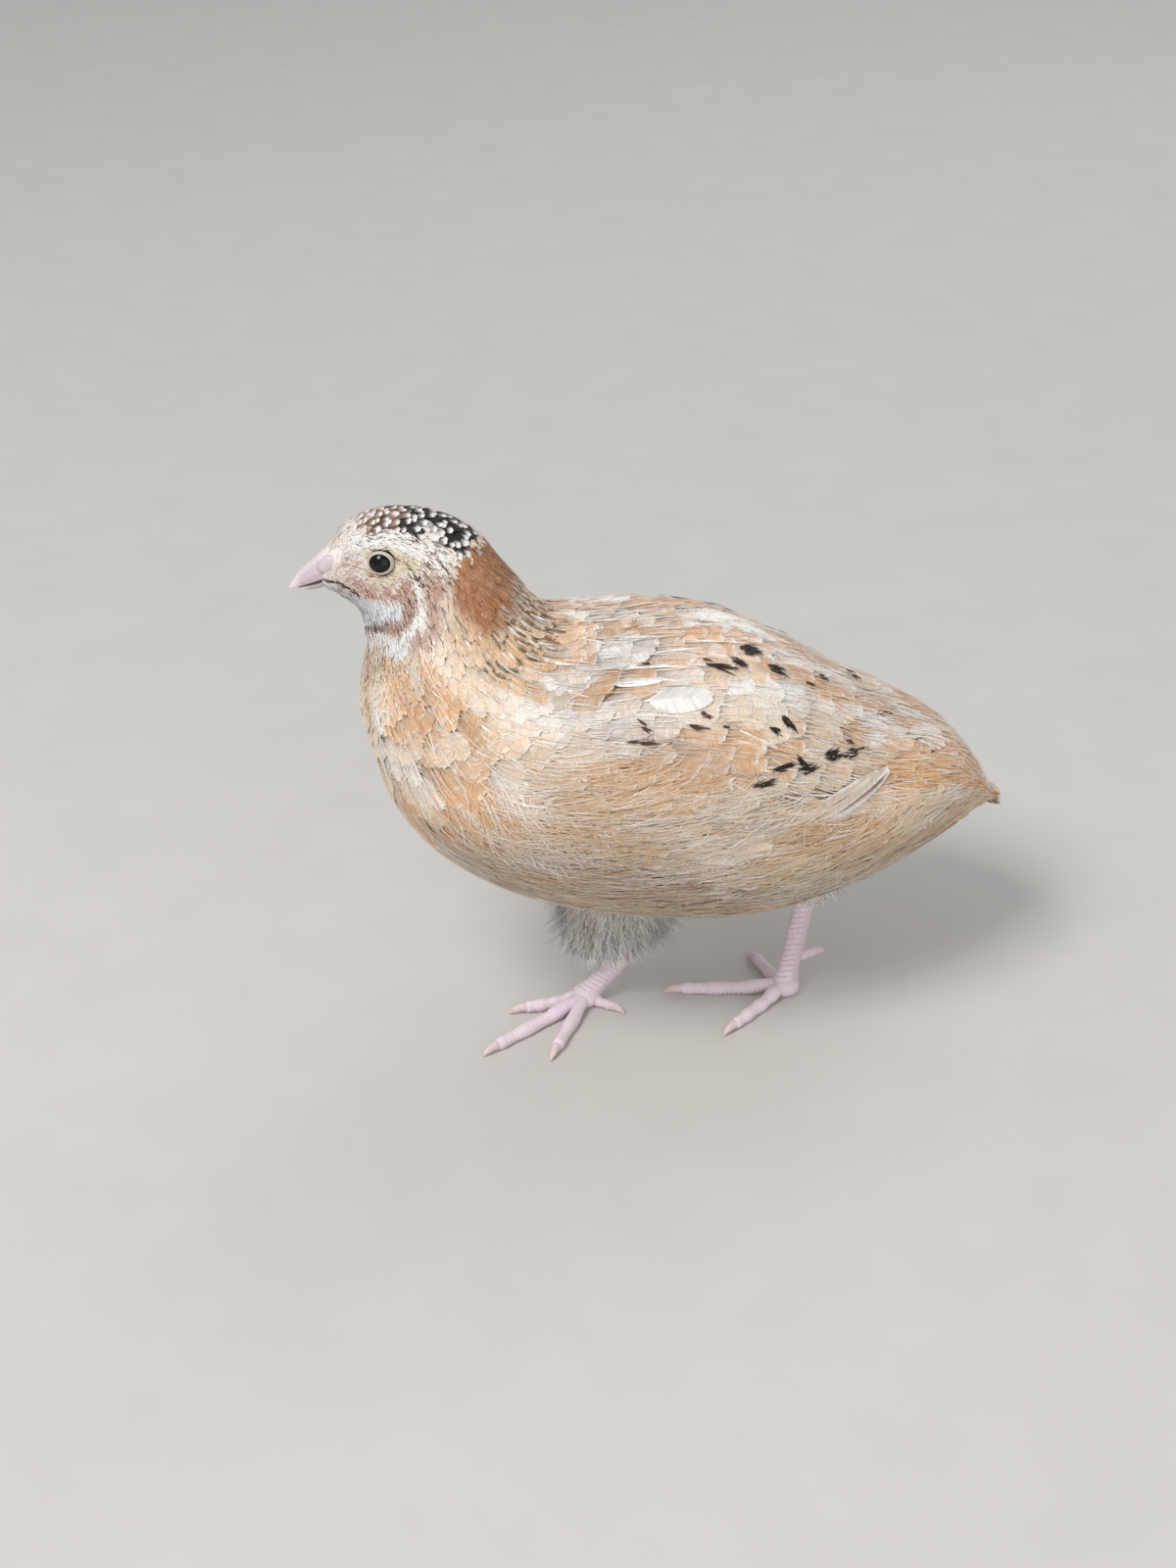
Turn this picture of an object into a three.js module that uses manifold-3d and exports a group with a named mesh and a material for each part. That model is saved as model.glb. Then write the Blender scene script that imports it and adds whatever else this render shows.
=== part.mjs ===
// A coturnix quail, life size, walking, as a still model.
// Millimetres, +Z up, the bird faces -Y and its left side is +X. The floor is z = 0.
import * as THREE from 'three';
import { LoftGeometry } from 'three/addons/geometries/LoftGeometry.js';
import { mergeVertices } from 'three/addons/utils/BufferGeometryUtils.js';
import Module from 'manifold-3d';

const wasm = await Module();
wasm.setup();

const { Vector3 } = THREE;
const { smoothstep, lerp, clamp, degToRad } = THREE.MathUtils;

// Driving sizes
const GAP = 0.3;
const HEAD_TURN = degToRad(15);
const NECK_PIVOT_Y = -48;
const BODY_SIDES = 36;

// The body is a loft of oval sections. Each has a back and a belly point in the middle plane (y, z),
// its half-width, and how far up from the belly it is widest, as a share of its depth.
const BODY_STATIONS = [
  { name: 'lores', back: [-81.8, 133.6], belly: [-83.5, 123.2], half: 3.8, widest: 0.45 },
  { name: 'brow', back: [-77.3, 138.7], belly: [-79.3, 120.9], half: 6.4, widest: 0.47 },
  { name: 'eye', back: [-70.1, 141.9], belly: [-74.8, 117.2], half: 8.8, widest: 0.5 },
  { name: 'ear', back: [-60, 141.7], belly: [-73.1, 111.5], half: 10.6, widest: 0.5 },
  { name: 'nape', back: [-49.2, 136.9], belly: [-75.4, 102.1], half: 14, widest: 0.48 },
  { name: 'neck', back: [-40.8, 126.2], belly: [-75.5, 92], half: 20.5, widest: 0.46 },
  { name: 'neck root', back: [-31.5, 115.7], belly: [-74.2, 82.3], half: 27.5, widest: 0.45 },
  { name: 'shoulder', back: [-18, 112.3], belly: [-69.8, 69.1], half: 33, widest: 0.47 },
  { name: 'breast', back: [-2.8, 111.2], belly: [-60.3, 56.2], half: 36.5, widest: 0.5 },
  { name: 'keel', back: [12.7, 107.1], belly: [-42.9, 44.2], half: 38.5, widest: 0.52 },
  { name: 'belly', back: [27.9, 99], belly: [-17.9, 34.4], half: 38.5, widest: 0.54 },
  { name: 'flank', back: [42.7, 89.1], belly: [10, 28.9], half: 36.5, widest: 0.54 },
  { name: 'vent', back: [57, 81], belly: [35.7, 32.4], half: 31.5, widest: 0.54 },
  { name: 'rump', back: [69.5, 72.2], belly: [54.6, 40.7], half: 24, widest: 0.54 },
  { name: 'tail root', back: [77.8, 62], belly: [66.7, 48.1], half: 16.5, widest: 0.54 },
  { name: 'tail', back: [84.1, 50.4], belly: [78.5, 53.7], half: 8.5, widest: 0.52 },
  { name: 'tail tip', back: [86.8, 44.8], belly: [84.4, 47], half: 6, widest: 0.5 },
];

// The body is parted at these places along the row of stations.
const HEAD_END = 3.6;
const NECK_END = 5.5;
const TORSO_END = 13.3;
const TAIL_CORE = { end: 14.7, depth: 1.7, ramp: 0.4, rings: 4, sides: 20 };
const CUT = 0.026;

// Soft swellings of the head: station, angle up from the side, height, and reach along and around
const HEAD_SWELLINGS = [
  { name: 'brow ridge', at: 2.25, angle: 36, height: 0.5, along: 0.5, around: 12 },
  { name: 'eye hollow', at: 2.37, angle: 17, height: -0.5, along: 0.45, around: 13 },
  { name: 'cheek', at: 2.75, angle: -18, height: 0.7, along: 0.6, around: 16 },
];

// Eyes and lids
const EYE = { at: 2.37, angle: 16.7, radius: 3.3, depth: 1.9 };
const LID = { ring: 3.15, thickness: 0.62, wide: 1.08, high: 0.96 };

// The bill's two halves, in the middle plane of the head before it is turned
const UPPER_BILL = [
  { back: [-82.2, 133], belly: [-83.4, 125.3], half: 3.4, widest: 0.14 },
  { back: [-85.1, 131], belly: [-85.2, 124.6], half: 3, widest: 0.14 },
  { back: [-87.8, 128.5], belly: [-87.1, 123.9], half: 2.4, widest: 0.14 },
  { back: [-89.8, 125.6], belly: [-89, 123.1], half: 1.5, widest: 0.2 },
  { back: [-91, 122.9], belly: [-90.7, 122], half: 0.45, widest: 0.5 },
];
const LOWER_BILL = [
  { back: [-83.4, 125], belly: [-83.8, 122.9], half: 2.9, widest: 0.86 },
  { back: [-85.2, 124.3], belly: [-85.3, 122.5], half: 2.5, widest: 0.86 },
  { back: [-87.1, 123.6], belly: [-87.2, 122.3], half: 1.9, widest: 0.86 },
  { back: [-88.8, 122.8], belly: [-88.8, 122.2], half: 0.7, widest: 0.6 },
];
const NOSTRIL = {
  y: -84.3, z: 128.4, out: 2.55,
  length: 1.6, height: 0.95, bulge: 0.75, tilt: -32, slit: 0.28,
};
const GAPE = { from: 0, to: 1.42, angleFrom: -22, angleTo: -17, radius: 0.45 };

// The folded wing lies in a shallow bed in the torso, between two angles up from the side.
const WING = {
  from: 6.15, to: 10.4, tip: 11.6, low: 12, high: 68,
  corner: 0.5, front: -0.3, frontEase: 0.12, top: -1.7, bottom: -3.1,
};
const WING_BED = {
  depth: 3.5, tipDepth: 1.3,
  margin: 0.16, ramp: 0.3, angleMargin: 2.2, angleRamp: 7,
};

// A feather's thickness at its root and out to its tip, how far it is bent and tilted across, and
// where along it its root has widened and its tip begins to round off.
const VANE = {
  root: 0.8, edge: 0.5, camber: 0.15, tilt: 0.5, rootShare: 0.5, wideFrom: 0.4,
  tipShare: 0.34, roundFrom: 0.55, roundOver: 0.48, tipRake: 0.06, cells: 3,
};

// Rows of feathers. A row is set round the body at a station, its feathers spread between two angles
// up from the side, and each lies back from its root. Lengths are in stations, and widths and lifts
// in millimetres. Lean is how far a feather climbs towards the back, in degrees.
const WING_ROWS = [
  {
    name: 'lesser coverts', at: 6.4, from: 26, to: 57,
    count: 4, length: 1.3, width: 10, rise: [-2, -0.5], lean: 0,
  },
  {
    name: 'median coverts', at: 7.25, from: 20, to: 61,
    count: 4, length: 1.4, width: 11, rise: [-2.6, -0.5], lean: 1,
  },
  {
    name: 'greater coverts', at: 8.2, from: 20, to: 61,
    count: 5, length: 1.45, width: 10, rise: [-2.6, -0.5], lean: 1,
  },
  {
    name: 'secondaries', at: 9.1, from: 20, to: 60,
    count: 5, length: 1.55, width: 9.5, rise: [-2.6, -0.5], lean: 3,
  },
  {
    name: 'tertials', at: 9.95, from: 33, to: 60,
    count: 4, length: 1.65, width: 8, rise: [-2.5, -0.5], lean: 4,
  },
  {
    name: 'primaries', at: 9.8, from: 16, to: 23,
    count: 3, length: 1.85, width: 5, rise: [-2.5, -0.6], lean: 16,
  },
];
const TAIL_ROWS = [
  {
    name: 'upper coverts', at: 13.78, from: 25, to: 155,
    count: 5, length: 1.15, width: 10, rise: [-2, -0.5], lean: 0,
  },
  {
    name: 'under coverts', at: 13.78, from: 220, to: 320,
    count: 3, length: 1.1, width: 11, rise: [-2, -0.5], lean: 0,
  },
];

// How much a feather's place and length vary within its row, in stations and as a share.
const VARY = { seed: 31, place: 0.08, length: 0.05 };

// The tail feathers lie one on another in a narrow fan that droops, the middle one on top.
const TAIL_FAN = {
  root: [73.5, 54.6], tip: [86.6, 45.6],
  step: 0.85, shorter: 0.02, width: 6.2, thickness: 0.5,
};
const TAIL_FEATHERS = [
  { fan: 0, aside: 0 },
  { fan: 9, aside: 1.4 },
  { fan: -9, aside: -1.4 },
  { fan: 18, aside: 2.6 },
  { fan: -18, aside: -2.6 },
];

// Legs: the tarsus runs from the hock down to the ball of the foot
const BALL = { radius: 3.9, height: 3.2, centre: 2.6 };
const TARSUS = { wide: 1.9, deep: 2.8, spread: 0.6, scutes: 7, scuteRise: 0.22 };
const TOE = { wide: 1.9, high: 1.9, centre: 1.6, clawLength: 4.2, clawRadius: 1.05 };
const LEGS = {
  left: {
    ball: [5.1, 29], tarsusTop: [5.25, 33.4, 29.6],
    thigh: [
      { at: [8, 31, 52], wide: 11, deep: 12 },
      { at: [6.5, 33.5, 38], wide: 8.5, deep: 9.5 },
      { at: [5.6, 33.5, 31], wide: 6.5, deep: 7 },
      { at: [5.3, 33.2, 27.4], wide: 3.8, deep: 4.4 },
    ],
    toes: [
      { tip: [1.2, 41.2, 9.6], from: [4.2, 31.5, 10.2], raised: true },
      { tip: [-13.8, 25.4] },
      { tip: [-2.5, -1.2] },
      { tip: [19.6, 7.8] },
    ],
  },
  right: {
    ball: [-3.7, -21.7], tarsusTop: [-4.1, -6.5, 17.9],
    thigh: [
      { at: [-11, -8, 46], wide: 12, deep: 17 },
      { at: [-7.5, -12.5, 31], wide: 11, deep: 17 },
      { at: [-5.5, -14.5, 22], wide: 9, deep: 14 },
      { at: [-4.6, -14.3, 16], wide: 6.6, deep: 10 },
      { at: [-4.3, -14, 12.9], wide: 3.6, deep: 5.5 },
    ],
    toes: [
      { tip: [3.8, -13.6] },
      { tip: [18.4, -36.7] },
      { tip: [12.3, -52.5] },
      { tip: [-3.7, -42] },
    ],
  },
};

const COLOURS = {
  cream: 0xe6d3b0,
  buff: 0xd9b98a,
  head: 0xd8c4a4,
  bill: 0xcdb0a6,
  eye: 0x0b0908,
  leg: 0xd9bfba,
  claw: 0xc9b3a4,
  down: 0xcfc6b8,
};

// Solids

function signedVolume(points, index) {
  const [a, b, c] = [new Vector3(), new Vector3(), new Vector3()];
  let volume = 0;
  for (let i = 0; i < index.length; i += 3) {
    a.fromArray(points, 3 * index[i]);
    b.fromArray(points, 3 * index[i + 1]);
    c.fromArray(points, 3 * index[i + 2]);
    volume += a.dot(b.cross(c)) / 6;
  }
  return volume;
}

// Turns a closed geometry into a solid, with its shared vertices merged and its faces pointing out.
function solid(geometry) {
  const plain = new THREE.BufferGeometry();
  plain.setAttribute('position', geometry.attributes.position);
  plain.setIndex(geometry.index);
  const merged = mergeVertices(plain, 1e-4);
  const points = merged.attributes.position.array;
  const index = [];
  const all = merged.index.array;
  for (let i = 0; i < all.length; i += 3) {
    const [a, b, c] = [all[i], all[i + 1], all[i + 2]];
    if (a !== b && b !== c && c !== a) index.push(a, b, c);
  }
  if (signedVolume(points, index) < 0) index.reverse();
  return new wasm.Manifold(new wasm.Mesh({
    numProp: 3,
    vertProperties: new Float32Array(points),
    triVerts: new Uint32Array(index),
  }));
}

// The largest closed surface of a solid, which drops loose scraps and sealed hollows.
function largest(body) {
  const pieces = body.decompose();
  pieces.sort((a, b) => b.volume() - a.volume());
  return pieces[0];
}

function toGeometry(body) {
  const mesh = body.getMesh();
  const geometry = new THREE.BufferGeometry();
  geometry.setAttribute('position', new THREE.BufferAttribute(mesh.vertProperties, 3));
  geometry.setIndex(new THREE.BufferAttribute(mesh.triVerts, 1));
  geometry.computeVertexNormals();
  return geometry;
}

// A loft through rings of points, closed at each end by a fan round the ring's centre.
function closedLoft(rings) {
  const centre = (ring) => {
    const middle = new Vector3();
    ring.forEach((point) => middle.add(point));
    return ring.map(() => middle.clone().divideScalar(ring.length));
  };
  const first = centre(rings[0]);
  const last = centre(rings[rings.length - 1]);
  return solid(new LoftGeometry([first, ...rings, last]));
}

// A closed slab between two sheets that are split into triangles alike.
// sheet(across, along, side) gives a point, for side 1 on the outer sheet and -1 on the inner.
function slab(sheet, cellsAcross, cellsAlong) {
  const grid = new THREE.PlaneGeometry(1, 1, cellsAcross, cellsAlong);
  const { uv } = grid.attributes;
  const points = [];
  for (const side of [1, -1]) {
    for (let i = 0; i < uv.count; i += 1) {
      points.push(...sheet(uv.getX(i), 1 - uv.getY(i), side).toArray());
    }
  }
  const index = Array.from(grid.index.array);
  const inner = index.map((i) => i + uv.count).reverse();
  index.push(...inner, ...slabRim(cellsAcross, cellsAlong, uv.count));
  const geometry = new THREE.BufferGeometry();
  geometry.setAttribute('position', new THREE.Float32BufferAttribute(points, 3));
  geometry.setIndex(index);
  return solid(geometry);
}

// The walls that join the two sheets of a slab, all the way round its border.
function slabRim(cellsAcross, cellsAlong, sheetCount) {
  const row = cellsAcross + 1;
  const border = [];
  for (let i = 0; i < cellsAlong; i += 1) border.push(i * row);
  for (let i = 0; i < cellsAcross; i += 1) border.push(cellsAlong * row + i);
  for (let i = cellsAlong; i > 0; i -= 1) border.push(i * row + cellsAcross);
  for (let i = cellsAcross; i > 0; i -= 1) border.push(i);
  const walls = [];
  border.forEach((p, i) => {
    const q = border[(i + 1) % border.length];
    walls.push(q, p, p + sheetCount, q, p + sheetCount, q + sheetCount);
  });
  return walls;
}

// A body round a path. Each step has a centre, half-sizes and a side direction; the ring is drawn
// square to the path and nothing on it goes below the floor.
function limb(steps, sides, side, floor = -Infinity) {
  const centres = steps.map((step) => new Vector3(...step.at));
  const rings = centres.map((centre, i) => {
    const ahead = centres[Math.min(i + 1, centres.length - 1)];
    const behind = centres[Math.max(i - 1, 0)];
    const along = ahead.clone().sub(behind).normalize();
    const up = along.clone().cross(side).normalize();
    const out = up.clone().cross(along).normalize();
    const ring = [];
    for (let k = 0; k < sides; k += 1) {
      const angle = (2 * Math.PI * k) / sides;
      const point = centre.clone();
      point.addScaledVector(out, steps[i].wide * Math.cos(angle));
      point.addScaledVector(up, steps[i].deep * Math.sin(angle));
      point.z = Math.max(point.z, floor);
      ring.push(point);
    }
    return ring;
  });
  return closedLoft(rings);
}

// The body's surface

function stationCurves(stations) {
  const curve = (points) => new THREE.CatmullRomCurve3(points, false, 'catmullrom', 0.5);
  return {
    last: stations.length - 1,
    back: curve(stations.map((s) => new Vector3(0, ...s.back))),
    belly: curve(stations.map((s) => new Vector3(0, ...s.belly))),
    girth: curve(stations.map((s) => new Vector3(s.half, s.widest, 0))),
  };
}

// Turns the head to the bird's right about an upright axis in the neck, easing in up the neck.
function turnHead(point) {
  const ease = smoothstep(point.z, 92, 122) * smoothstep(-point.y, 20, 40);
  const angle = HEAD_TURN * ease;
  const y = point.y - NECK_PIVOT_Y;
  return new Vector3(
    point.x * Math.cos(angle) + y * Math.sin(angle),
    -point.x * Math.sin(angle) + y * Math.cos(angle) + NECK_PIVOT_Y,
    point.z,
  );
}

// A point of an oval section, at an angle in radians that starts at the bird's left side.
function sectionPoint(curves, at, angle) {
  const share = clamp(at / curves.last, 0, 1);
  const back = curves.back.getPoint(share);
  const belly = curves.belly.getPoint(share);
  const girth = curves.girth.getPoint(share);
  const rise = Math.sin(angle);
  const reach = rise > 0 ? 1 - girth.y : girth.y;
  const point = belly.lerp(back, girth.y + reach * rise);
  point.x = girth.x * Math.cos(angle);
  return turnHead(point);
}

// The same point, lifted off the surface along its normal.
function surfacePoint(curves, at, angle, lift = 0) {
  const point = sectionPoint(curves, at, angle);
  if (lift === 0) return point;
  const step = 0.02;
  const along = sectionPoint(curves, at + step, angle).sub(sectionPoint(curves, at - step, angle));
  const around = sectionPoint(curves, at, angle + step);
  around.sub(sectionPoint(curves, at, angle - step));
  return point.addScaledVector(along.cross(around).normalize(), lift);
}

const BODY = stationCurves(BODY_STATIONS);
const bodyPoint = (at, angle, lift) => surfacePoint(BODY, at, angle, lift);

// Degrees up from the side for a ring angle in radians, the same on the left and the right.
function elevation(angle) {
  const turned = THREE.MathUtils.euclideanModulo(THREE.MathUtils.radToDeg(angle) + 90, 360);
  return turned <= 180 ? turned - 90 : 270 - turned;
}

// The ring angle in radians for degrees up from the side, on one side of the bird.
const sideAngle = (degrees, side) => degToRad(side > 0 ? degrees : 180 - degrees);

function headSwelling(at, angle) {
  const up = elevation(angle);
  return HEAD_SWELLINGS.reduce((sum, swelling) => {
    const a = (at - swelling.at) / swelling.along;
    const b = (up - swelling.angle) / swelling.around;
    return sum + swelling.height * Math.exp(-a * a - b * b);
  }, 0);
}

// Where the wing begins, as a station: its front edge is rounded off towards both corners.
function wingFront(up) {
  const share = clamp((up - WING.low) / (WING.high - WING.low), 0, 1);
  return WING.from + WING.corner * (1 - Math.sin(Math.PI * share));
}

// How deep the bed under the folded wing is at a place on the torso.
function wingBed(at, angle) {
  const up = elevation(angle);
  const { margin, ramp, angleMargin, angleRamp } = WING_BED;
  const start = wingFront(up) - margin;
  const front = smoothstep(at, start - ramp, start);
  const rear = 1 - smoothstep(at, WING.tip + margin, WING.tip + margin + ramp);
  const below = smoothstep(up, WING.low - angleMargin - angleRamp, WING.low - angleMargin);
  const above = 1 - smoothstep(up, WING.high + angleMargin, WING.high + angleMargin + angleRamp);
  const depth = lerp(WING_BED.depth, WING_BED.tipDepth, clamp((at - WING.to) / (WING.tip - WING.to), 0, 1));
  return depth * front * rear * below * above;
}

function bodyLength(from, to, count, lift, sides = BODY_SIDES) {
  const rings = [];
  for (let i = 0; i <= count; i += 1) {
    const at = lerp(from, to, i / count);
    const ring = [];
    for (let k = 0; k < sides; k += 1) {
      const angle = (2 * Math.PI * k) / sides;
      ring.push(bodyPoint(at, angle, lift(at, angle)));
    }
    rings.push(ring);
  }
  return closedLoft(rings);
}

// Head

function eyeCentre(side) {
  return bodyPoint(EYE.at, sideAngle(EYE.angle, side), -EYE.depth);
}

function eyeBall(side, extra = 0) {
  const geometry = new THREE.SphereGeometry(EYE.radius + extra, 14, 8);
  geometry.translate(...eyeCentre(side).toArray());
  return solid(geometry);
}

function lidRing(side) {
  const geometry = new THREE.TorusGeometry(LID.ring, LID.thickness, 6, 18);
  geometry.scale(LID.wide, LID.high, 1);
  const rim = bodyPoint(EYE.at, sideAngle(EYE.angle, side), -0.35);
  const look = new THREE.Matrix4().lookAt(rim, eyeCentre(side), new Vector3(0, 0, 1));
  geometry.applyMatrix4(look);
  geometry.translate(...rim.toArray());
  return solid(geometry);
}

// The line of the mouth runs back from the bill's corner as a shallow groove.
function gapeGroove(side) {
  const steps = [];
  for (let i = 0; i <= 5; i += 1) {
    const share = i / 5;
    const angle = sideAngle(lerp(GAPE.angleFrom, GAPE.angleTo, share), side);
    const radius = GAPE.radius * (1 - 0.75 * share);
    const point = bodyPoint(lerp(GAPE.from, GAPE.to, share), angle, 0.1);
    steps.push({ at: point.toArray(), wide: radius, deep: radius });
  }
  const lead = new Vector3(...steps[0].at).sub(new Vector3(...steps[1].at));
  const start = new Vector3(...steps[0].at).add(lead.multiplyScalar(0.6));
  return limb([{ ...steps[0], at: start.toArray() }, ...steps], 6, new Vector3(0, 0, 1));
}

function head() {
  let body = bodyLength(0, HEAD_END - CUT / 2, 16, headSwelling);
  for (const side of [1, -1]) {
    body = body.add(lidRing(side));
    body = body.subtract(eyeBall(side, GAP));
    body = body.subtract(gapeGroove(side));
  }
  return largest(body);
}

function billHalf(stations, steps) {
  const curves = stationCurves(stations);
  const rings = [];
  for (let i = 0; i <= steps; i += 1) {
    const at = (curves.last * i) / steps;
    const ring = [];
    for (let k = 0; k < 12; k += 1) ring.push(sectionPoint(curves, at, (Math.PI * k) / 6));
    rings.push(ring);
  }
  return closedLoft(rings);
}

// Each nostril is a slit under a soft flap at the root of the upper bill.
function upperBill() {
  let body = billHalf(UPPER_BILL, 8);
  for (const side of [1, -1]) {
    const flap = new THREE.SphereGeometry(1, 9, 6);
    flap.scale(NOSTRIL.bulge, NOSTRIL.length, NOSTRIL.height);
    flap.rotateX(degToRad(NOSTRIL.tilt));
    flap.translate(side * NOSTRIL.out, NOSTRIL.y, NOSTRIL.z);
    const slit = new THREE.SphereGeometry(1, 8, 5);
    slit.scale(NOSTRIL.bulge, NOSTRIL.length * 0.75, NOSTRIL.slit);
    slit.rotateX(degToRad(NOSTRIL.tilt));
    slit.translate(side * (NOSTRIL.out + 0.4), NOSTRIL.y - 0.3, NOSTRIL.z - NOSTRIL.height);
    body = body.add(turned(flap)).subtract(turned(slit));
  }
  return largest(body);
}

function turned(geometry) {
  const { position } = geometry.attributes;
  for (let i = 0; i < position.count; i += 1) {
    const point = turnHead(new Vector3().fromBufferAttribute(position, i));
    position.setXYZ(i, ...point.toArray());
  }
  return solid(geometry);
}

// Neck, torso, wings and tail

const neck = () => bodyLength(HEAD_END + CUT / 2, NECK_END - CUT / 2, 8, () => 0);

function torso() {
  const sunk = (at, angle) => -wingBed(at, angle);
  return bodyLength(NECK_END + CUT / 2, TORSO_END - CUT / 2, 32, sunk);
}


// Half a feather's width at a share of its length: narrow at the root, rounded off at the tip.
function vaneHalf(width, along) {
  const taper = Math.max(along - VANE.roundFrom, 0) / VANE.roundOver;
  const round = Math.max(Math.sqrt(1 - taper * taper), VANE.tipShare);
  return (width / 2) * lerp(VANE.rootShare, 1, smoothstep(along, 0, VANE.wideFrom)) * round;
}

// A feather of the rows lies back from its root, bent over the body's own surface.
function vane(feather, side) {
  const { at, angle, length, width, rise, lean } = feather;
  const middle = at + length / 2;
  const above = bodyPoint(middle, sideAngle(angle + 1, side));
  const arc = above.distanceTo(bodyPoint(middle, sideAngle(angle - 1, side))) / 2;
  const sheet = (across, along, face) => {
    const edge = 2 * across - 1;
    const half = vaneHalf(width, along);
    const up = angle + lean * along + (edge * half) / arc;
    const camber = VANE.camber * (1 - edge * edge);
    const thickness = lerp(VANE.root, VANE.edge, smoothstep(along, 0.2, 0.6));
    const tilt = (VANE.tilt * edge * half) / (width / 2);
    const lift = lerp(rise[0], rise[1], along) + camber - tilt + (face * thickness) / 2;
    const tip = along === 1 ? -VANE.tipRake * length * edge * edge : 0;
    return bodyPoint(at + length * along + tip, sideAngle(up, side), lift);
  };
  return slab(sheet, 2, VANE.cells);
}

// A row's feathers, each a little different in length and place. The draw is seeded by the row.
function featherRow(row, side, seed) {
  const draw = seededDraw(seed);
  const vanes = [];
  for (let i = 0; i < row.count; i += 1) {
    const angle = lerp(row.from, row.to, i / (row.count - 1));
    const at = row.at + VARY.place * draw();
    const length = row.length * (1 + VARY.length * draw());
    vanes.push(vane({ ...row, at, angle, length }, side));
  }
  return vanes;
}

function seededDraw(seed) {
  const modulus = 2147483647;
  let state = seed;
  return () => {
    state = (state * 16807) % modulus;
    return (2 * state) / modulus - 1;
  };
}

function feathered(core, rows, side) {
  const vanes = rows.flatMap((row, i) => featherRow(row, side, VARY.seed * (i + 1)));
  return largest(wasm.Manifold.union([core, ...vanes]));
}

// Where feathers meet at a point, small hollows show up only once the vertices there are merged.
const mended = (body) => largest(solid(toGeometry(body)));

// The wing's arm and hand under the feathers, a slab bent over the side of the torso.
function wingCore(side) {
  const sheet = (across, along, face) => {
    const up = lerp(WING.low, WING.high, across);
    const at = lerp(wingFront(up), WING.to, along);
    const top = lerp(WING.front, WING.top, smoothstep(along, 0, WING.frontEase));
    return bodyPoint(at, sideAngle(up, side), face > 0 ? top : WING.bottom);
  };
  return slab(sheet, 6, 8);
}

const wing = (side) => mended(feathered(wingCore(side), WING_ROWS, side));

function tail() {
  const sunk = (at) => -TAIL_CORE.depth * smoothstep(at, TORSO_END, TORSO_END + TAIL_CORE.ramp);
  const core = bodyLength(TORSO_END + CUT / 2, TAIL_CORE.end, TAIL_CORE.rings, sunk, TAIL_CORE.sides);
  const fan = TAIL_FEATHERS.map((feather, rank) => tailFeather(feather, rank));
  return mended(largest(wasm.Manifold.union([feathered(core, TAIL_ROWS, 1), ...fan])));
}

// A tail feather is flat but for its camber, turned out in the plane of the fan.
function tailFeather({ fan, aside }, rank) {
  const root = new Vector3(aside, ...TAIL_FAN.root);
  const axis = new Vector3(0, TAIL_FAN.tip[0], TAIL_FAN.tip[1]).sub(new Vector3(0, ...TAIL_FAN.root));
  const length = axis.length();
  axis.normalize();
  const normal = new Vector3(1, 0, 0).cross(axis);
  const turn = degToRad(fan);
  const sheet = (across, along, face) => {
    const edge = 2 * across - 1;
    const half = vaneHalf(TAIL_FAN.width, along);
    const reach = length * along * (1 - TAIL_FAN.shorter * rank);
    const x = reach * Math.sin(turn) + edge * half * Math.cos(turn);
    const y = reach * Math.cos(turn) - edge * half * Math.sin(turn);
    const middle = VANE.camber * (1 - edge * edge) - TAIL_FAN.step * rank;
    const lift = middle + (face * TAIL_FAN.thickness) / 2;
    const point = root.clone().addScaledVector(axis, y).addScaledVector(normal, lift);
    point.x += x;
    return point;
  };
  return slab(sheet, 2, VANE.cells);
}

// Legs

// The feathered thigh is cut clear of the torso above it and of the tarsus that comes out of it.
function thigh(name) {
  const fluff = limb(LEGS[name].thigh, 14, new Vector3(1, 0, 0));
  const under = bodyLength(8, TORSO_END, 20, () => GAP);
  return largest(fluff.subtract(under).subtract(shankClearance(name)));
}

function ballCentre(name) {
  return new Vector3(...LEGS[name].ball, BALL.centre);
}

function ball(name, extra = 0) {
  const geometry = new THREE.SphereGeometry(1, 14, 8);
  geometry.scale(BALL.radius + extra, BALL.radius + extra, BALL.height + extra);
  geometry.translate(...ballCentre(name).toArray());
  const { position } = geometry.attributes;
  for (let i = 0; i < position.count; i += 1) position.setZ(i, Math.max(position.getZ(i), 0));
  return solid(geometry);
}

// The tarsus carries a row of scutes down its front.
function tarsus(name) {
  const top = new Vector3(...LEGS[name].tarsusTop);
  const foot = ballCentre(name);
  const steps = [];
  const count = TARSUS.scutes * 2;
  for (let i = 0; i <= count; i += 1) {
    const share = i / count;
    const point = top.clone().lerp(foot, share);
    const scute = i % 2 === 0 ? TARSUS.scuteRise : 0;
    const spread = smoothstep(share, 0.75, 1) * TARSUS.spread;
    const deep = TARSUS.deep + scute + spread;
    steps.push({ at: point.toArray(), wide: TARSUS.wide + spread + scute / 2, deep });
  }
  const shank = limb(steps, 10, new Vector3(1, 0, 0), 0);
  return largest(shank.add(ball(name)));
}

// A toe runs from the ball of the foot to the root of its claw.
function toePath(name, number) {
  const toe = LEGS[name].toes[number];
  const tip = toe.raised ? new Vector3(...toe.tip) : new Vector3(...toe.tip, TOE.centre);
  const root = toe.raised ? new Vector3(...toe.from) : ballCentre(name);
  const length = tip.distanceTo(root);
  const point = (distance) => {
    const share = distance / length;
    const at = root.clone().lerp(tip, share);
    if (!toe.raised) at.z = lerp(root.z, TOE.centre, smoothstep(share, 0.1, 0.4));
    return at;
  };
  return { length, point };
}

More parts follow.
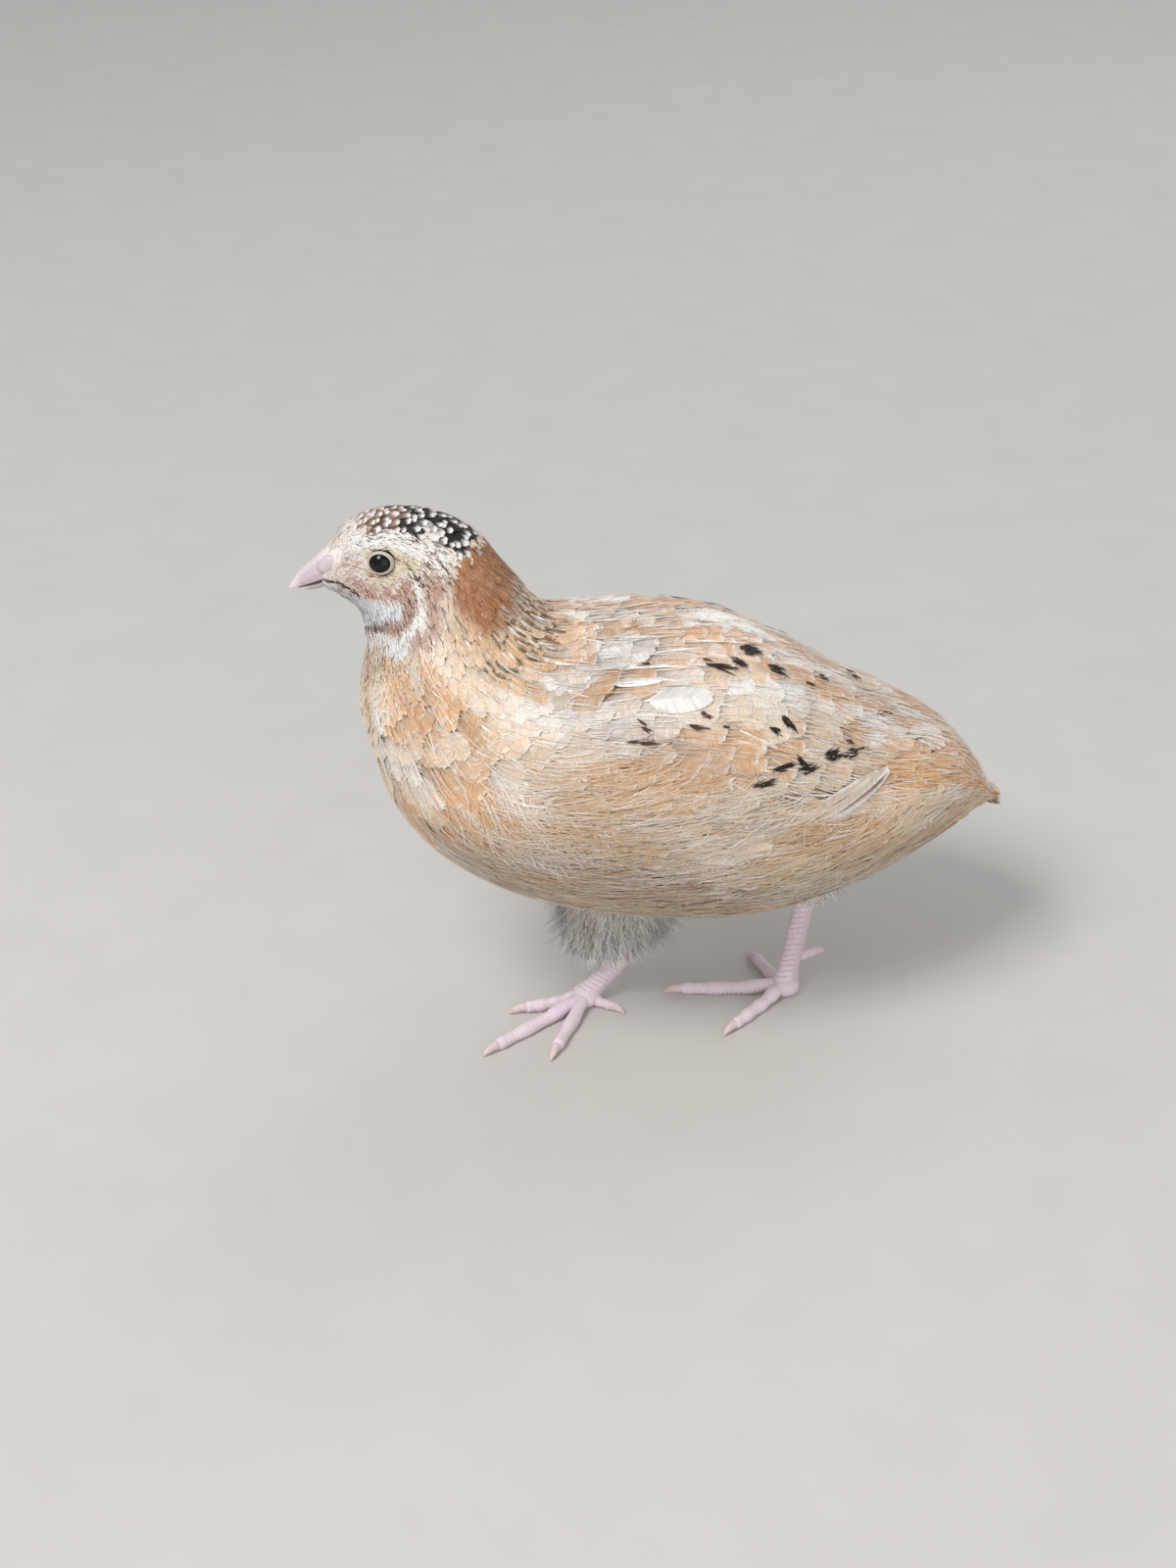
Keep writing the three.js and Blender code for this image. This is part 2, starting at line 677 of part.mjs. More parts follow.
function toe(name, number, extra = 0) {
  const { length, point } = toePath(name, number);
  const end = length - TOE.clawLength;
  const size = number === 0 ? 0.8 : 1;
  const steps = [];
  for (let i = 0; i <= 6; i += 1) {
    const share = i / 6;
    const joint = size * (1 + 0.07 * Math.cos(share * 6 * Math.PI));
    const wide = joint * lerp(1, 0.76, share) * TOE.wide + extra;
    const deep = joint * lerp(1, 0.88, share) * TOE.high + extra;
    steps.push({ at: point(end * share).toArray(), wide, deep });
  }
  const across = point(end).sub(point(0)).cross(new Vector3(0, 0, 1)).normalize();
  return limb(steps, 8, across, 0);
}

// The claw starts a gap beyond the toe and curves down to the floor.
function claw(name, number) {
  const { length, point } = toePath(name, number);
  const start = length - TOE.clawLength + GAP;
  const raised = LEGS[name].toes[number].raised;
  const steps = [];
  for (let i = 0; i <= 4; i += 1) {
    const share = i / 4;
    const at = point(lerp(start, length, share));
    const radius = TOE.clawRadius * (1 - 0.86 * share);
    at.z += raised ? -1.4 * share * share : 0.25 * Math.sin(Math.PI * share) - 1.15 * share * share;
    steps.push({ at: at.toArray(), wide: radius * 0.8, deep: radius });
  }
  const across = point(length).sub(point(0)).cross(new Vector3(0, 0, 1)).normalize();
  return limb(steps, 6, across, 0);
}

// The middle toe is whole. Its neighbours are cut clear of it, and every toe of the ball and shank.
function toes(name, shank) {
  const middle = toe(name, 2, GAP);
  return LEGS[name].toes.map((_, number) => {
    let body = toe(name, number).subtract(grown(name));
    if (number === 0) body = body.subtract(shank);
    if (number === 1 || number === 3) body = body.subtract(middle);
    return largest(body);
  });
}

const grown = (name) => ball(name, GAP);

// The shank, swollen by the gap, for the thigh and the hind toe to meet.
function shankClearance(name) {
  const top = new Vector3(...LEGS[name].tarsusTop);
  const foot = ballCentre(name);
  const beyond = top.clone().sub(foot).setLength(GAP);
  const room = TARSUS.scuteRise + TARSUS.spread / 4 + GAP;
  const ends = [top.add(beyond), foot];
  const size = { wide: TARSUS.wide + room, deep: TARSUS.deep + room };
  const steps = ends.map((end) => ({ at: end.toArray(), ...size }));
  return limb(steps, 12, new Vector3(1, 0, 0));
}

// The whole bird

const bird = new THREE.Group();

function add(name, body, colour, roughness) {
  const material = new THREE.MeshStandardMaterial({ color: colour, roughness, metalness: 0 });
  const mesh = new THREE.Mesh(toGeometry(body), material);
  mesh.name = name;
  bird.add(mesh);
}

function addBody() {
  add('head', head(), COLOURS.head, 0.9);
  add('bill_upper', upperBill(), COLOURS.bill, 0.45);
  add('bill_lower', billHalf(LOWER_BILL, 6), COLOURS.bill, 0.45);
  add('neck', neck(), COLOURS.buff, 0.9);
  add('torso', torso(), COLOURS.cream, 0.9);
  add('tail', tail(), COLOURS.buff, 0.9);
}

function addSide(name, side) {
  add(`eye_${name}`, eyeBall(side), COLOURS.eye, 0.05);
  add(`wing_${name}`, wing(side), COLOURS.cream, 0.9);
  add(`thigh_${name}`, thigh(name), COLOURS.down, 0.95);
  const shank = tarsus(name);
  add(`tarsus_${name}`, shank, COLOURS.leg, 0.55);
  toes(name, shankClearance(name)).forEach((body, i) => {
    add(`toe_${name}_${i + 1}`, body, COLOURS.leg, 0.55);
    add(`claw_${name}_${i + 1}`, claw(name, i), COLOURS.claw, 0.4);
  });
}

addBody();
addSide('left', 1);
addSide('right', -1);

// The origin is on the floor under the middle of the bird's box.
const box = new THREE.Box3().setFromObject(bird);
bird.position.set(-(box.min.x + box.max.x) / 2, -(box.min.y + box.max.y) / 2, -box.min.z);

export default bird;
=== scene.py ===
"""A life-size coturnix quail in mid-step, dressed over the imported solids, in a plain pale studio."""

import math
from types import SimpleNamespace

import bpy
import numpy as np
from bpy.props import FloatProperty, FloatVectorProperty, IntProperty, PointerProperty
from bpy.types import Operator, Panel, PropertyGroup
from mathutils import Matrix, Vector


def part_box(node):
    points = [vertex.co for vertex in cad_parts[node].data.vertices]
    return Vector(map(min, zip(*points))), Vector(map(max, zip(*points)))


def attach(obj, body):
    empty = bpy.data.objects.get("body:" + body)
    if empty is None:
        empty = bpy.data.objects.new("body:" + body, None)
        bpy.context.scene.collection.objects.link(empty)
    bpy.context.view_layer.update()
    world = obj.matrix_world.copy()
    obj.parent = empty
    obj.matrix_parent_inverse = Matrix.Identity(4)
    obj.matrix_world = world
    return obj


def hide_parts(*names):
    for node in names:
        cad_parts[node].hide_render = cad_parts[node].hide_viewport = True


bl_info = {
    "name": "Coturnix Quail",
    "version": (1, 0, 0),
    "blender": (4, 5, 0),
    "location": "View3D > Sidebar > Quail",
    "description": "Builds a life-size quail: skin, feathers, bill, eyes, legs and a plain studio",
    "category": "Add Mesh",
}

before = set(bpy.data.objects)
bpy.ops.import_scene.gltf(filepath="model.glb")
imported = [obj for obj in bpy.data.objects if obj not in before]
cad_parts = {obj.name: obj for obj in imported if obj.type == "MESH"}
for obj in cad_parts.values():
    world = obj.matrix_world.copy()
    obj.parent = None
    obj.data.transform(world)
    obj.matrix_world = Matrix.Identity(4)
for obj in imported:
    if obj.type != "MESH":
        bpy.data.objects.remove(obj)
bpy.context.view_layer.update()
MM = 0.001
BODY = "root"

# The body's oval sections, in millimetres: the back and belly points in the middle plane (y, z),
# the half-width, and how far up from the belly each is widest. They run from the bill to the tail.
STATIONS = np.array([
    [-81.8, 133.6, -83.5, 123.2, 3.8, 0.45],
    [-77.3, 138.7, -79.3, 120.9, 6.4, 0.47],
    [-70.1, 141.9, -74.8, 117.2, 8.8, 0.5],
    [-60.0, 141.7, -73.1, 111.5, 10.6, 0.5],
    [-49.2, 136.9, -75.4, 102.1, 14.0, 0.48],
    [-40.8, 126.2, -75.5, 92.0, 20.5, 0.46],
    [-31.5, 115.7, -74.2, 82.3, 27.5, 0.45],
    [-18.0, 112.3, -69.8, 69.1, 33.0, 0.47],
    [-2.8, 111.2, -60.3, 56.2, 36.5, 0.5],
    [12.7, 107.1, -42.9, 44.2, 38.5, 0.52],
    [27.9, 99.0, -17.9, 34.4, 38.5, 0.54],
    [42.7, 89.1, 10.0, 28.9, 36.5, 0.54],
    [57.0, 81.0, 35.7, 32.4, 31.5, 0.54],
    [69.5, 72.2, 54.6, 40.7, 24.0, 0.54],
    [77.8, 62.0, 66.7, 48.1, 16.5, 0.54],
    [84.1, 50.4, 78.5, 53.7, 8.5, 0.52],
    [86.8, 44.8, 84.4, 47.0, 6.0, 0.5],
])
LAST = len(STATIONS) - 1

# The head is turned about an upright axis in the neck, at this y
HEAD_TURN = math.radians(15)
NECK_PIVOT_Y = -48

# Soft swellings and hollows: station, angle up from the side, height, reach along and around
SWELLINGS = ((2.25, 36, 0.5, 0.5, 12), (2.37, 17, -0.5, 0.45, 13), (2.75, -18, 0.7, 0.6, 16),
             (2.8, -58, 1.6, 0.6, 26), (4.9, -55, 1.3, 0.8, 35), (12.0, -78, -4.6, 1.5, 44),
             (7.3, -12, 0.6, 0.35, 14), (7.8, -26, 0.7, 0.4, 12))

# The eyes: station, degrees up from the side, radius, and how deep the middle lies
EYE_AT = 2.37
EYE_UP = 16.7
EYE_RADIUS = 3.3
EYE_DEPTH = 1.9

# The bill's halves, as sections like the body's
UPPER_BILL = np.array([
    [-79.3, 133.2, -81.4, 126.0, 3.1, 0.14],
    [-82.2, 132.3, -83.4, 125.3, 3.4, 0.14],
    [-85.1, 129.8, -85.2, 124.6, 3.0, 0.14],
    [-87.8, 127.3, -87.1, 123.9, 2.3, 0.14],
    [-89.8, 124.9, -89.0, 123.1, 1.4, 0.2],
    [-91.0, 122.9, -90.7, 122.0, 0.45, 0.5],
])
LOWER_BILL = np.array([
    [-81.4, 125.9, -82.0, 123.6, 2.6, 0.86],
    [-83.4, 125.0, -83.8, 122.9, 2.9, 0.86],
    [-85.2, 124.3, -85.3, 122.5, 2.5, 0.86],
    [-87.1, 123.6, -87.2, 122.3, 1.9, 0.86],
    [-88.8, 122.8, -88.8, 122.2, 0.7, 0.6],
])
# The soft flap over the nostril: its middle, the half-sizes of its ellipsoid and its tilt
FLAP = np.array([3.35, -81.3, 130.0])
FLAP_SIZE = np.array([1.3, 2.8, 1.9])
FLAP_TILT = math.radians(40)

# The wing's own feathers cover this part of each side, in stations and degrees up from the side
WING_SPAN = (6.45, 10.4)
WING_RISE = (18, 60)

# Heights over the floor of the middles of the foot's ball and of the toes, and the claws' length
BALL_CENTRE = 2.6
TOE_CENTRE = 1.6
CLAW_LENGTH = 4.2
# The legs, in millimetres: the ball of the foot; the hock end of the tarsus; the tip of each toe, and
# its root where it is raised off the floor; the thigh's ovals as x, y, z, half-width and half-depth
LEGS = {
    "left": {
        "ball": (5.1, 29), "top": (5.25, 33.4, 29.6),
        "toes": (((1.2, 41.2, 9.6), (4.2, 31.5, 10.2)), ((-13.8, 25.4), None),
                 ((-2.5, -1.2), None), ((19.6, 7.8), None)),
        "thigh": ((8, 31, 52, 11, 12), (6.5, 33.5, 38, 8.5, 9.5), (5.6, 33.5, 31, 6.5, 7),
                  (5.3, 33.2, 27.4, 3.8, 4.4)),
    },
    "right": {
        "ball": (-3.7, -21.7), "top": (-4.1, -6.5, 17.9),
        "toes": (((3.8, -13.6), None), ((18.4, -36.7), None), ((12.3, -52.5), None),
                 ((-3.7, -42), None)),
        "thigh": ((-11, -8, 46, 12, 17), (-7.5, -12.5, 31, 11, 17), (-5.5, -14.5, 22, 9, 14),
                  (-4.6, -14.3, 16, 6.6, 10), (-4.3, -14, 12.9, 3.6, 5.5)),
    },
}
# Each side's sign along x
SIDES = {"left": 1, "right": -1}


# Surfaces and shapes

def smoothstep(value, start, end):
    """A ramp from 0 at start to 1 at end that starts and ends level: 3s^2 - 2s^3. It falls as the
    value rises where start is the larger."""
    share = np.clip((value - start) / (end - start), 0, 1)
    return share * share * (3 - 2 * share)


def catmull(points, at):
    """A curve through the points: a cubic whose slope at each is half the step of its neighbours."""
    last = len(points) - 1
    at = np.clip(at, 0, last)
    cell = np.minimum(at.astype(int), last - 1)
    share = (at - cell)[..., None]
    padded = np.concatenate([2 * points[:1] - points[1:2], points, 2 * points[-1:] - points[-2:-1]])
    p0, p1, p2, p3 = (padded[cell + step] for step in range(4))
    linear = (p2 - p0) * share
    square = (2 * p0 - 5 * p1 + 4 * p2 - p3) * share ** 2
    cube = (3 * p1 - p0 - 3 * p2 + p3) * share ** 3
    return (2 * p1 + linear + square + cube) / 2


def turn_head(points):
    """Turns points about an upright axis in the neck, by an angle that eases in up the neck."""
    x, y, z = points[..., 0], points[..., 1] - NECK_PIVOT_Y, points[..., 2]
    ease = smoothstep(z, 92, 122) * smoothstep(-points[..., 1], 20, 40)
    angle = HEAD_TURN * ease
    turned_x = x * np.cos(angle) + y * np.sin(angle)
    turned_y = y * np.cos(angle) - x * np.sin(angle) + NECK_PIVOT_Y
    return np.stack([turned_x, turned_y, z], axis=-1)


def section_point(sections, at, angle):
    """A point of an oval: its depth runs as the sine of the angle, its width as the cosine."""
    row = catmull(sections, at)
    back_y, back_z, belly_y, belly_z, half, widest = np.moveaxis(row, -1, 0)
    turned = np.radians(angle)
    rise = np.sin(turned)
    share = widest + np.where(rise > 0, 1 - widest, widest) * rise
    x = half * np.cos(turned)
    y = belly_y + (back_y - belly_y) * share
    z = belly_z + (back_z - belly_z) * share
    return turn_head(np.stack([x, y, z], axis=-1))


def raised_point(sections, at, angle, lift):
    """The oval's point plus the lift along the normal, the cross product of its two tangents."""
    step = 0.02
    along = section_point(sections, at + step, angle) - section_point(sections, at - step, angle)
    around = section_point(sections, at, angle + 1) - section_point(sections, at, angle - 1)
    normal = np.cross(along, around)
    normal /= np.linalg.norm(normal, axis=-1, keepdims=True) + 1e-9
    return section_point(sections, at, angle) + normal * np.asarray(lift)[..., None]


def elevation(angle):
    """Degrees up from the side for a ring angle in degrees, the same on both sides."""
    turned = np.mod(angle + 90, 360)
    return np.where(turned <= 180, turned - 90, 270 - turned)


def swelling(at, up):
    """The soft swellings and hollows: a sum of bells over the station and the angle."""
    total = np.zeros(np.broadcast(at, up).shape)
    for centre, angle, height, along, around in SWELLINGS:
        total += height * np.exp(-((at - centre) / along) ** 2 - ((up - angle) / around) ** 2)
    return total


def body_point(at, angle, lift=0.0):
    """A point over the bird's surface, in millimetres, lifted off it and off its swellings."""
    at, angle, lift = np.broadcast_arrays(at, angle, lift)
    return raised_point(STATIONS, at, angle, lift + swelling(at, elevation(angle)))


def side_angle(up, side):
    """The ring angle of a place that lies so many degrees up from the side."""
    return up if side > 0 else 180 - up


def eye_centre(side):
    angle = side_angle(EYE_UP, side)
    return raised_point(STATIONS, np.array(EYE_AT), np.array(angle), -EYE_DEPTH)


def box_centre(node):
    low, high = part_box(node)
    return (np.array(low) + np.array(high)) / 2


SHIFT = box_centre("eye_left") - eye_centre(1) * MM


def to_frame(points):
    return points * MM + SHIFT


def grid_faces(rows, columns):
    """Quads of a grid of rows and columns, joined round each row, facing out."""
    row, column = np.meshgrid(np.arange(rows - 1), np.arange(columns), indexing="ij")
    after = (column + 1) % columns
    corners = [row * columns + column, (row + 1) * columns + column,
               (row + 1) * columns + after, row * columns + after]
    return np.stack(corners, axis=-1).reshape(-1, 4)


def triangles(quads):
    return np.concatenate([quads[:, [0, 1, 2]], quads[:, [0, 2, 3]]])


def capped_loft(rings):
    """Points and triangles of a loft of rings, each end closed by a fan to its middle."""
    rows, columns = rings.shape[:2]
    points = np.concatenate([rings.reshape(-1, 3), rings[:1].mean(axis=1), rings[-1:].mean(axis=1)])
    around = np.arange(columns)
    after = (around + 1) % columns
    first = np.stack([np.full(columns, rows * columns), around, after], axis=-1)
    start = (rows - 1) * columns
    last = np.stack([np.full(columns, rows * columns + 1), start + after, start + around], axis=-1)
    return points, np.concatenate([triangles(grid_faces(rows, columns)), first, last])


def capped(values):
    """The values of a loft's points in the loft's order, ends included."""
    flat = values.reshape(-1, values.shape[-1])
    return np.concatenate([flat, values[0, :1], values[-1, :1]])


def joined(parts):
    """One set of arrays from several, each with points, triangles and then more for the points."""
    points, faces, *rest = zip(*parts)
    starts = np.cumsum([0, *map(len, points)])
    faces = [face + start for face, start in zip(faces, starts)]
    return [np.concatenate(column) for column in (points, faces, *rest)]


def globe(columns, rows):
    """Rings of a unit ball without its poles, and the angles round it and down it."""
    turn, rise = np.meshgrid(np.linspace(0, 2 * math.pi, columns, endpoint=False),
                             np.linspace(0, math.pi, rows)[1:-1], indexing="xy")
    ball = np.stack([np.sin(rise) * np.cos(turn), np.sin(rise) * np.sin(turn), np.cos(rise)], axis=-1)
    return ball, turn, rise


def swept(path, wide, deep, across, sides, shape=None):
    """Rings carried along a path: the width runs as the cosine of the ring's angle along the across
    direction, and the depth as the sine along the direction square to it and the path."""
    tangent = np.gradient(path, axis=0)
    tangent /= np.linalg.norm(tangent, axis=1, keepdims=True)
    up = np.cross(across, tangent)
    up /= np.linalg.norm(up, axis=1, keepdims=True)
    level = np.cross(tangent, up)
    angle = np.linspace(0, 2 * math.pi, sides, endpoint=False)
    swell = np.ones((len(path), sides)) if shape is None else shape
    out = (np.cos(angle) * swell * wide[:, None])[..., None] * level[:, None]
    over = (np.sin(angle) * swell * deep[:, None])[..., None] * up[:, None]
    return path[:, None] + out + over


def soften(mesh, normals):
    """Shades feathers as one soft coat: each point's normal leans from its own towards the one given."""
    own = np.empty(3 * len(normals), dtype=np.float32)
    mesh.vertex_normals.foreach_get("vector", own)
    shaded = 0.4 * own.reshape(-1, 3) + 0.6 * normals
    shaded /= np.linalg.norm(shaded, axis=1, keepdims=True) + 1e-9
    mesh.normals_split_custom_set_from_vertices(shaded.tolist())


def make_mesh(name, points, faces, colours=None, uvs=None, vanes=None, normals=None, smooth=True):
    """A mesh object at the origin from whole arrays of points in the frame and triangles, with the
    colour of each point, its place on the coat's map, its place on a feather and its soft normal."""
    mesh = bpy.data.meshes.new(name)
    mesh.vertices.add(len(points))
    mesh.vertices.foreach_set("co", points.astype(np.float32).ravel())
    mesh.loops.add(faces.size)
    mesh.loops.foreach_set("vertex_index", faces.astype(np.int32).ravel())
    mesh.polygons.add(len(faces))
    mesh.polygons.foreach_set("loop_start", np.arange(0, faces.size, 3, dtype=np.int32))
    if smooth:
        mesh.polygons.foreach_set("use_smooth", np.ones(len(faces), dtype=bool))
    if uvs is not None:
        layer = mesh.uv_layers.new(name="OFBake")
        layer.uv.foreach_set("vector", uvs[faces.ravel()].astype(np.float32).ravel())
    if colours is not None:
        attribute = mesh.color_attributes.new(name="plumage", type="FLOAT_COLOR", domain="POINT")
        rgba = np.ones((len(points), 4), dtype=np.float32)
        rgba[:, :3] = colours
        attribute.data.foreach_set("color", rgba.ravel())
    if vanes is not None:
        attribute = mesh.attributes.new(name="vane", type="FLOAT_VECTOR", domain="POINT")
        attribute.data.foreach_set("vector", vanes.astype(np.float32).ravel())
    mesh.update(calc_edges=True)
    mesh.validate()
    if normals is not None:
        soften(mesh, normals)
    piece = bpy.data.objects.new(name, mesh)
    bpy.context.scene.collection.objects.link(piece)
    return piece


def place(piece, slot, material, *nodes):
    """Gives a finished piece its material and its body, and hides the nodes it stands for. The slot is not
    used.
    """
    piece.data.materials.append(material)
    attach(piece, BODY)
    if nodes:
        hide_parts(*nodes)
    return piece


# Plumage: where each colour lies

# About how many millimetres of surface lie in a station and in a degree, on the body and the head
STATION_MM = 14.5
DEGREE_MM = 0.6
HEAD_STATION_MM = 12
HEAD_DEGREE_MM = 0.22


def mix(first, second, share):
    """A blend of two colours by a share from 0 to 1, or by an array of shares."""
    share = np.clip(share, 0, 1)[..., None]
    return first + (second - first) * share


def drift(at, angle, size, seed):
    """Smooth noise from 0 to 1: seeded sine waves over the body, about size millimetres across,
    added and squeezed."""
    draw = np.random.default_rng(seed)
    x, y = at * 15 / size, angle * DEGREE_MM / size
    total = np.zeros(np.broadcast(at, angle).shape)
    for _ in range(7):
        heading, phase = draw.uniform(0, 2 * math.pi, 2)
        pace = draw.uniform(0.6, 1.7)
        total += np.sin(pace * (x * math.cos(heading) + y * math.sin(heading)) + phase)
    return 0.5 + 0.5 * np.tanh(total / 2.2)


def oval(at, up, centre, half, soft):
    """1 inside an oval round a place, in millimetres along and around, and 0 outside its soft edge."""
    along = (at - centre[0]) * STATION_MM
    around = (up - centre[1]) * DEGREE_MM
    distance = np.sqrt((along / half[0]) ** 2 + (around / half[1]) ** 2)
    return smoothstep(distance, 1 + soft, 1 - soft)


def ovals(at, up, places):
    """The strongest of several soft ovals, each a station, angle, half-length and half-width."""
    total = np.zeros(np.broadcast(at, up).shape)
    for centre_at, centre_up, half_long, half_wide in places:
        total = np.maximum(total, oval(at, up, (centre_at, centre_up), (half_long, half_wide), 0.6))
    return total


def near_line(at, up, line, half, soft):
    """1 near a broken line of (station, angle) places on the head, and 0 away from it."""
    x, y = at * HEAD_STATION_MM, up * HEAD_DEGREE_MM
    nearest = np.full(np.broadcast(at, up).shape, 1e9)
    places = np.array(line) * (HEAD_STATION_MM, HEAD_DEGREE_MM)
    for start, end in zip(places[:-1], places[1:]):
        step = end - start
        share = np.clip(((x - start[0]) * step[0] + (y - start[1]) * step[1]) / (step @ step), 0, 1)
        gap = np.hypot(x - start[0] - share * step[0], y - start[1] - share * step[1])
        nearest = np.minimum(nearest, gap)
    return smoothstep(nearest, half * (1 + soft), half * (1 - soft))


# Lines of the head, as (station, degrees up from the side)
GAPE = ((0.0, -22), (0.7, -22), (1.2, -26), (1.65, -31))
CHEEK_STREAK = ((1.3, -15), (1.7, -17), (2.2, -16), (2.8, -7), (3.2, 5))
FIRST_BAND = ((3.25, 8), (3.55, 8), (3.76, 6), (3.81, -1), (3.66, -13), (3.31, -26), (3.0, -40),
              (2.73, -51), (2.6, -90))
WHITE_BAND = ((3.6, 16), (3.76, 16), (3.98, 13), (4.06, 7), (4.05, 0), (3.86, -12), (3.55, -29),
              (3.18, -50), (3.0, -65), (2.95, -90))
SECOND_BAND = ((3.8, 26), (4.05, 25), (4.25, 22), (4.38, 18.5), (4.41, 11.5), (4.4, 6), (4.3, 0))
EYEBROW = ((1.45, 34), (1.9, 38.5), (2.4, 43), (2.9, 43.5), (3.4, 43), (3.7, 43))
YELLOW_LINE = ((1.83, 27), (2.14, 33), (2.48, 31), (2.85, 24), (3.08, 25), (3.34, 34), (3.6, 40))
UNDER_EYE = ((1.95, 6), (2.3, 0), (2.7, 4), (2.95, 14))

# Warm and white patches of the body: station, angle, half-length, half-width
WARM_PATCHES = (
    (4.5, -22, 7, 4), (5.0, -1, 6, 4), (5.35, -17, 7, 4), (5.7, 4, 7, 4), (6.2, -32, 6, 5),
    (6.6, -11, 7, 4), (7.0, -19, 7, 5), (7.1, -39, 8, 5), (7.4, -23, 5, 3), (5.95, 54, 6, 3),
    (6.3, 71, 6, 3), (6.05, 83, 5, 3), (6.7, 61, 5, 2.5), (6.8, 79, 8, 3), (7.1, 43, 6, 2.5),
    (7.5, 50, 6, 2.5), (7.85, 58, 5, 2.5), (7.65, 80, 5, 3), (8.45, 74, 7, 4), (8.1, 67, 5, 2.5),
    (9.1, 79, 6, 3), (10.45, 69, 6, 3.5), (11.3, 77, 6, 4), (11.8, 69, 5, 3), (11.9, 48, 8, 4),
    (12.5, 51, 7, 4), (13.4, 62, 9, 7), (13.5, 35, 8, 6), (11.6, 38.5, 5, 3), (12.3, 38, 6, 4),
    (9.5, 29, 6, 3), (9.7, 35, 5, 2.5), (8.6, 30.5, 6, 3), (8.2, -11, 8, 4), (8.9, -9, 9, 4),
    (8.6, 5, 10, 5), (9.9, -6, 9, 4), (8.6, 15, 7, 3), (10.9, 5, 8, 4), (12.4, 88, 7, 5),
    (9.9, 88, 6, 4),
)
WHITE_PATCHES = (
    (4.75, -58, 6, 4), (5.6, -62, 8, 5), (6.1, -44, 7, 4), (6.95, -5, 6, 3), (7.35, -11, 7, 3),
    (6.45, 28, 8, 4), (6.0, -17, 5, 3), (6.35, 45, 6, 2.5), (7.4, 66, 12, 3), (7.0, 90, 10, 3.5),
    (9.0, 88, 12, 3), (9.2, 73, 6, 2.5), (10.7, 80, 12, 3), (9.5, 57, 9, 3), (11.1, 62, 6, 2.5),
    (8.0, 38, 8, 3), (7.4, 33, 8, 4), (12.9, 25, 7, 4),
)


def head_colour(colours, at, up, draw):
    """The head's tints over the station and the angle up, each feather a little different."""
    white, dark, face = colours.white, colours.brown, colours.face
    band = mix(colours.rufous, colours.face, 0.3)
    result = mix(face, white, 0.25 + 0.65 * draw[..., 0])
    result = mix(result, white, 0.8 * smoothstep(up, 24, 44) * smoothstep(at, 1.9, 1.3))
    lore = oval(at, up, (1.15, 10), (8, 6), 0.7)
    result = mix(result, colours.buff, 0.3 * lore * draw[..., 1])
    result = mix(result, dark, 0.3 * lore * smoothstep(draw[..., 2], 0.7, 0.9))
    streak = near_line(at, up, CHEEK_STREAK, 2.2, 0.6)
    result = mix(result, band, 0.72 * streak * smoothstep(draw[..., 1], 0.0, 0.5))
    ear = oval(at, up, (3.45, 23), (5, 4), 0.5)
    result = mix(result, colours.grey, 0.5 * ear * draw[..., 2])
    result = mix(result, colours.grey, 0.4 * oval(at, up, (1.3, 22), (7, 3), 0.7))
    golden = near_line(at, up, YELLOW_LINE, 1.7, 0.7) + 0.7 * near_line(at, up, UNDER_EYE, 1.2, 0.7)
    result = mix(result, colours.yellow, 0.6 * golden * (0.5 + 0.5 * draw[..., 2]))
    result = mix(result, white, 0.9 * near_line(at, up, EYEBROW, 2.2, 0.6))
    line = np.interp(at, (0, 0.9, 1.55, 1.96, 2.48, 3.0, 3.33, 3.5), (-34, -40, -37, -32, -21, -10, -2, 0))
    throat = smoothstep(up + 6 * (draw[..., 1] - 0.5), line + 3, line - 4)
    result = mix(result, colours.chin, 0.95 * throat)
    result = mix(result, white, 0.95 * near_line(at, up, WHITE_BAND, 2.2, 0.35))
    shade = 0.65 + 0.35 * draw[..., 1]
    narrow = 1.5 - 0.8 * smoothstep(-up, 14, 30)
    result = mix(result, band, 0.9 * shade * near_line(at, up, FIRST_BAND, narrow, 0.4))
    result = mix(result, dark, 0.4 * near_line(at, up, FIRST_BAND, 0.9, 0.5) * smoothstep(-up, 8, 24))
    result = mix(result, band, 0.9 * shade * near_line(at, up, SECOND_BAND, 2.3, 0.35))
    cap = smoothstep(up, cap_edge(at) - 3, cap_edge(at) + 3) * smoothstep(at, 1.1, 1.7)
    peach = oval(at, up, (0.75, 62), (4, 7), 0.7)
    result = mix(mix(result, white, 0.6 * cap), colours.orange, 0.4 * peach * draw[..., 2])
    beneath = mix(face, colours.rufous, 0.3)
    crown = mix(beneath, colours.black, smoothstep(at, 2.4, 2.8))
    return mix(result, crown, 0.9 * cap * smoothstep(at, 4.2, 4.0))


def cap_edge(at):
    """How far up from the side the beaded cap begins, by station."""
    return np.interp(at, (0.53, 1.3, 2.0, 2.5, 3.0, 3.54, 3.94, 4.1), (65, 58, 51, 51, 53, 54.5, 61, 66))


# Black patches and white streaks of the cap: station, angle, half-length, half-width
BLACK_PATCHES = ((2.6, 74, 2.2, 3.5), (3.72, 64, 3.0, 2.6), (3.5, 78, 4.5, 1.6), (3.0, 60, 1.5, 2))
WHITE_STREAKS = ((3.25, 62, 3.6, 1.6), (3.3, 70, 3, 1.2), (3.4, 57, 3.4, 1.2))


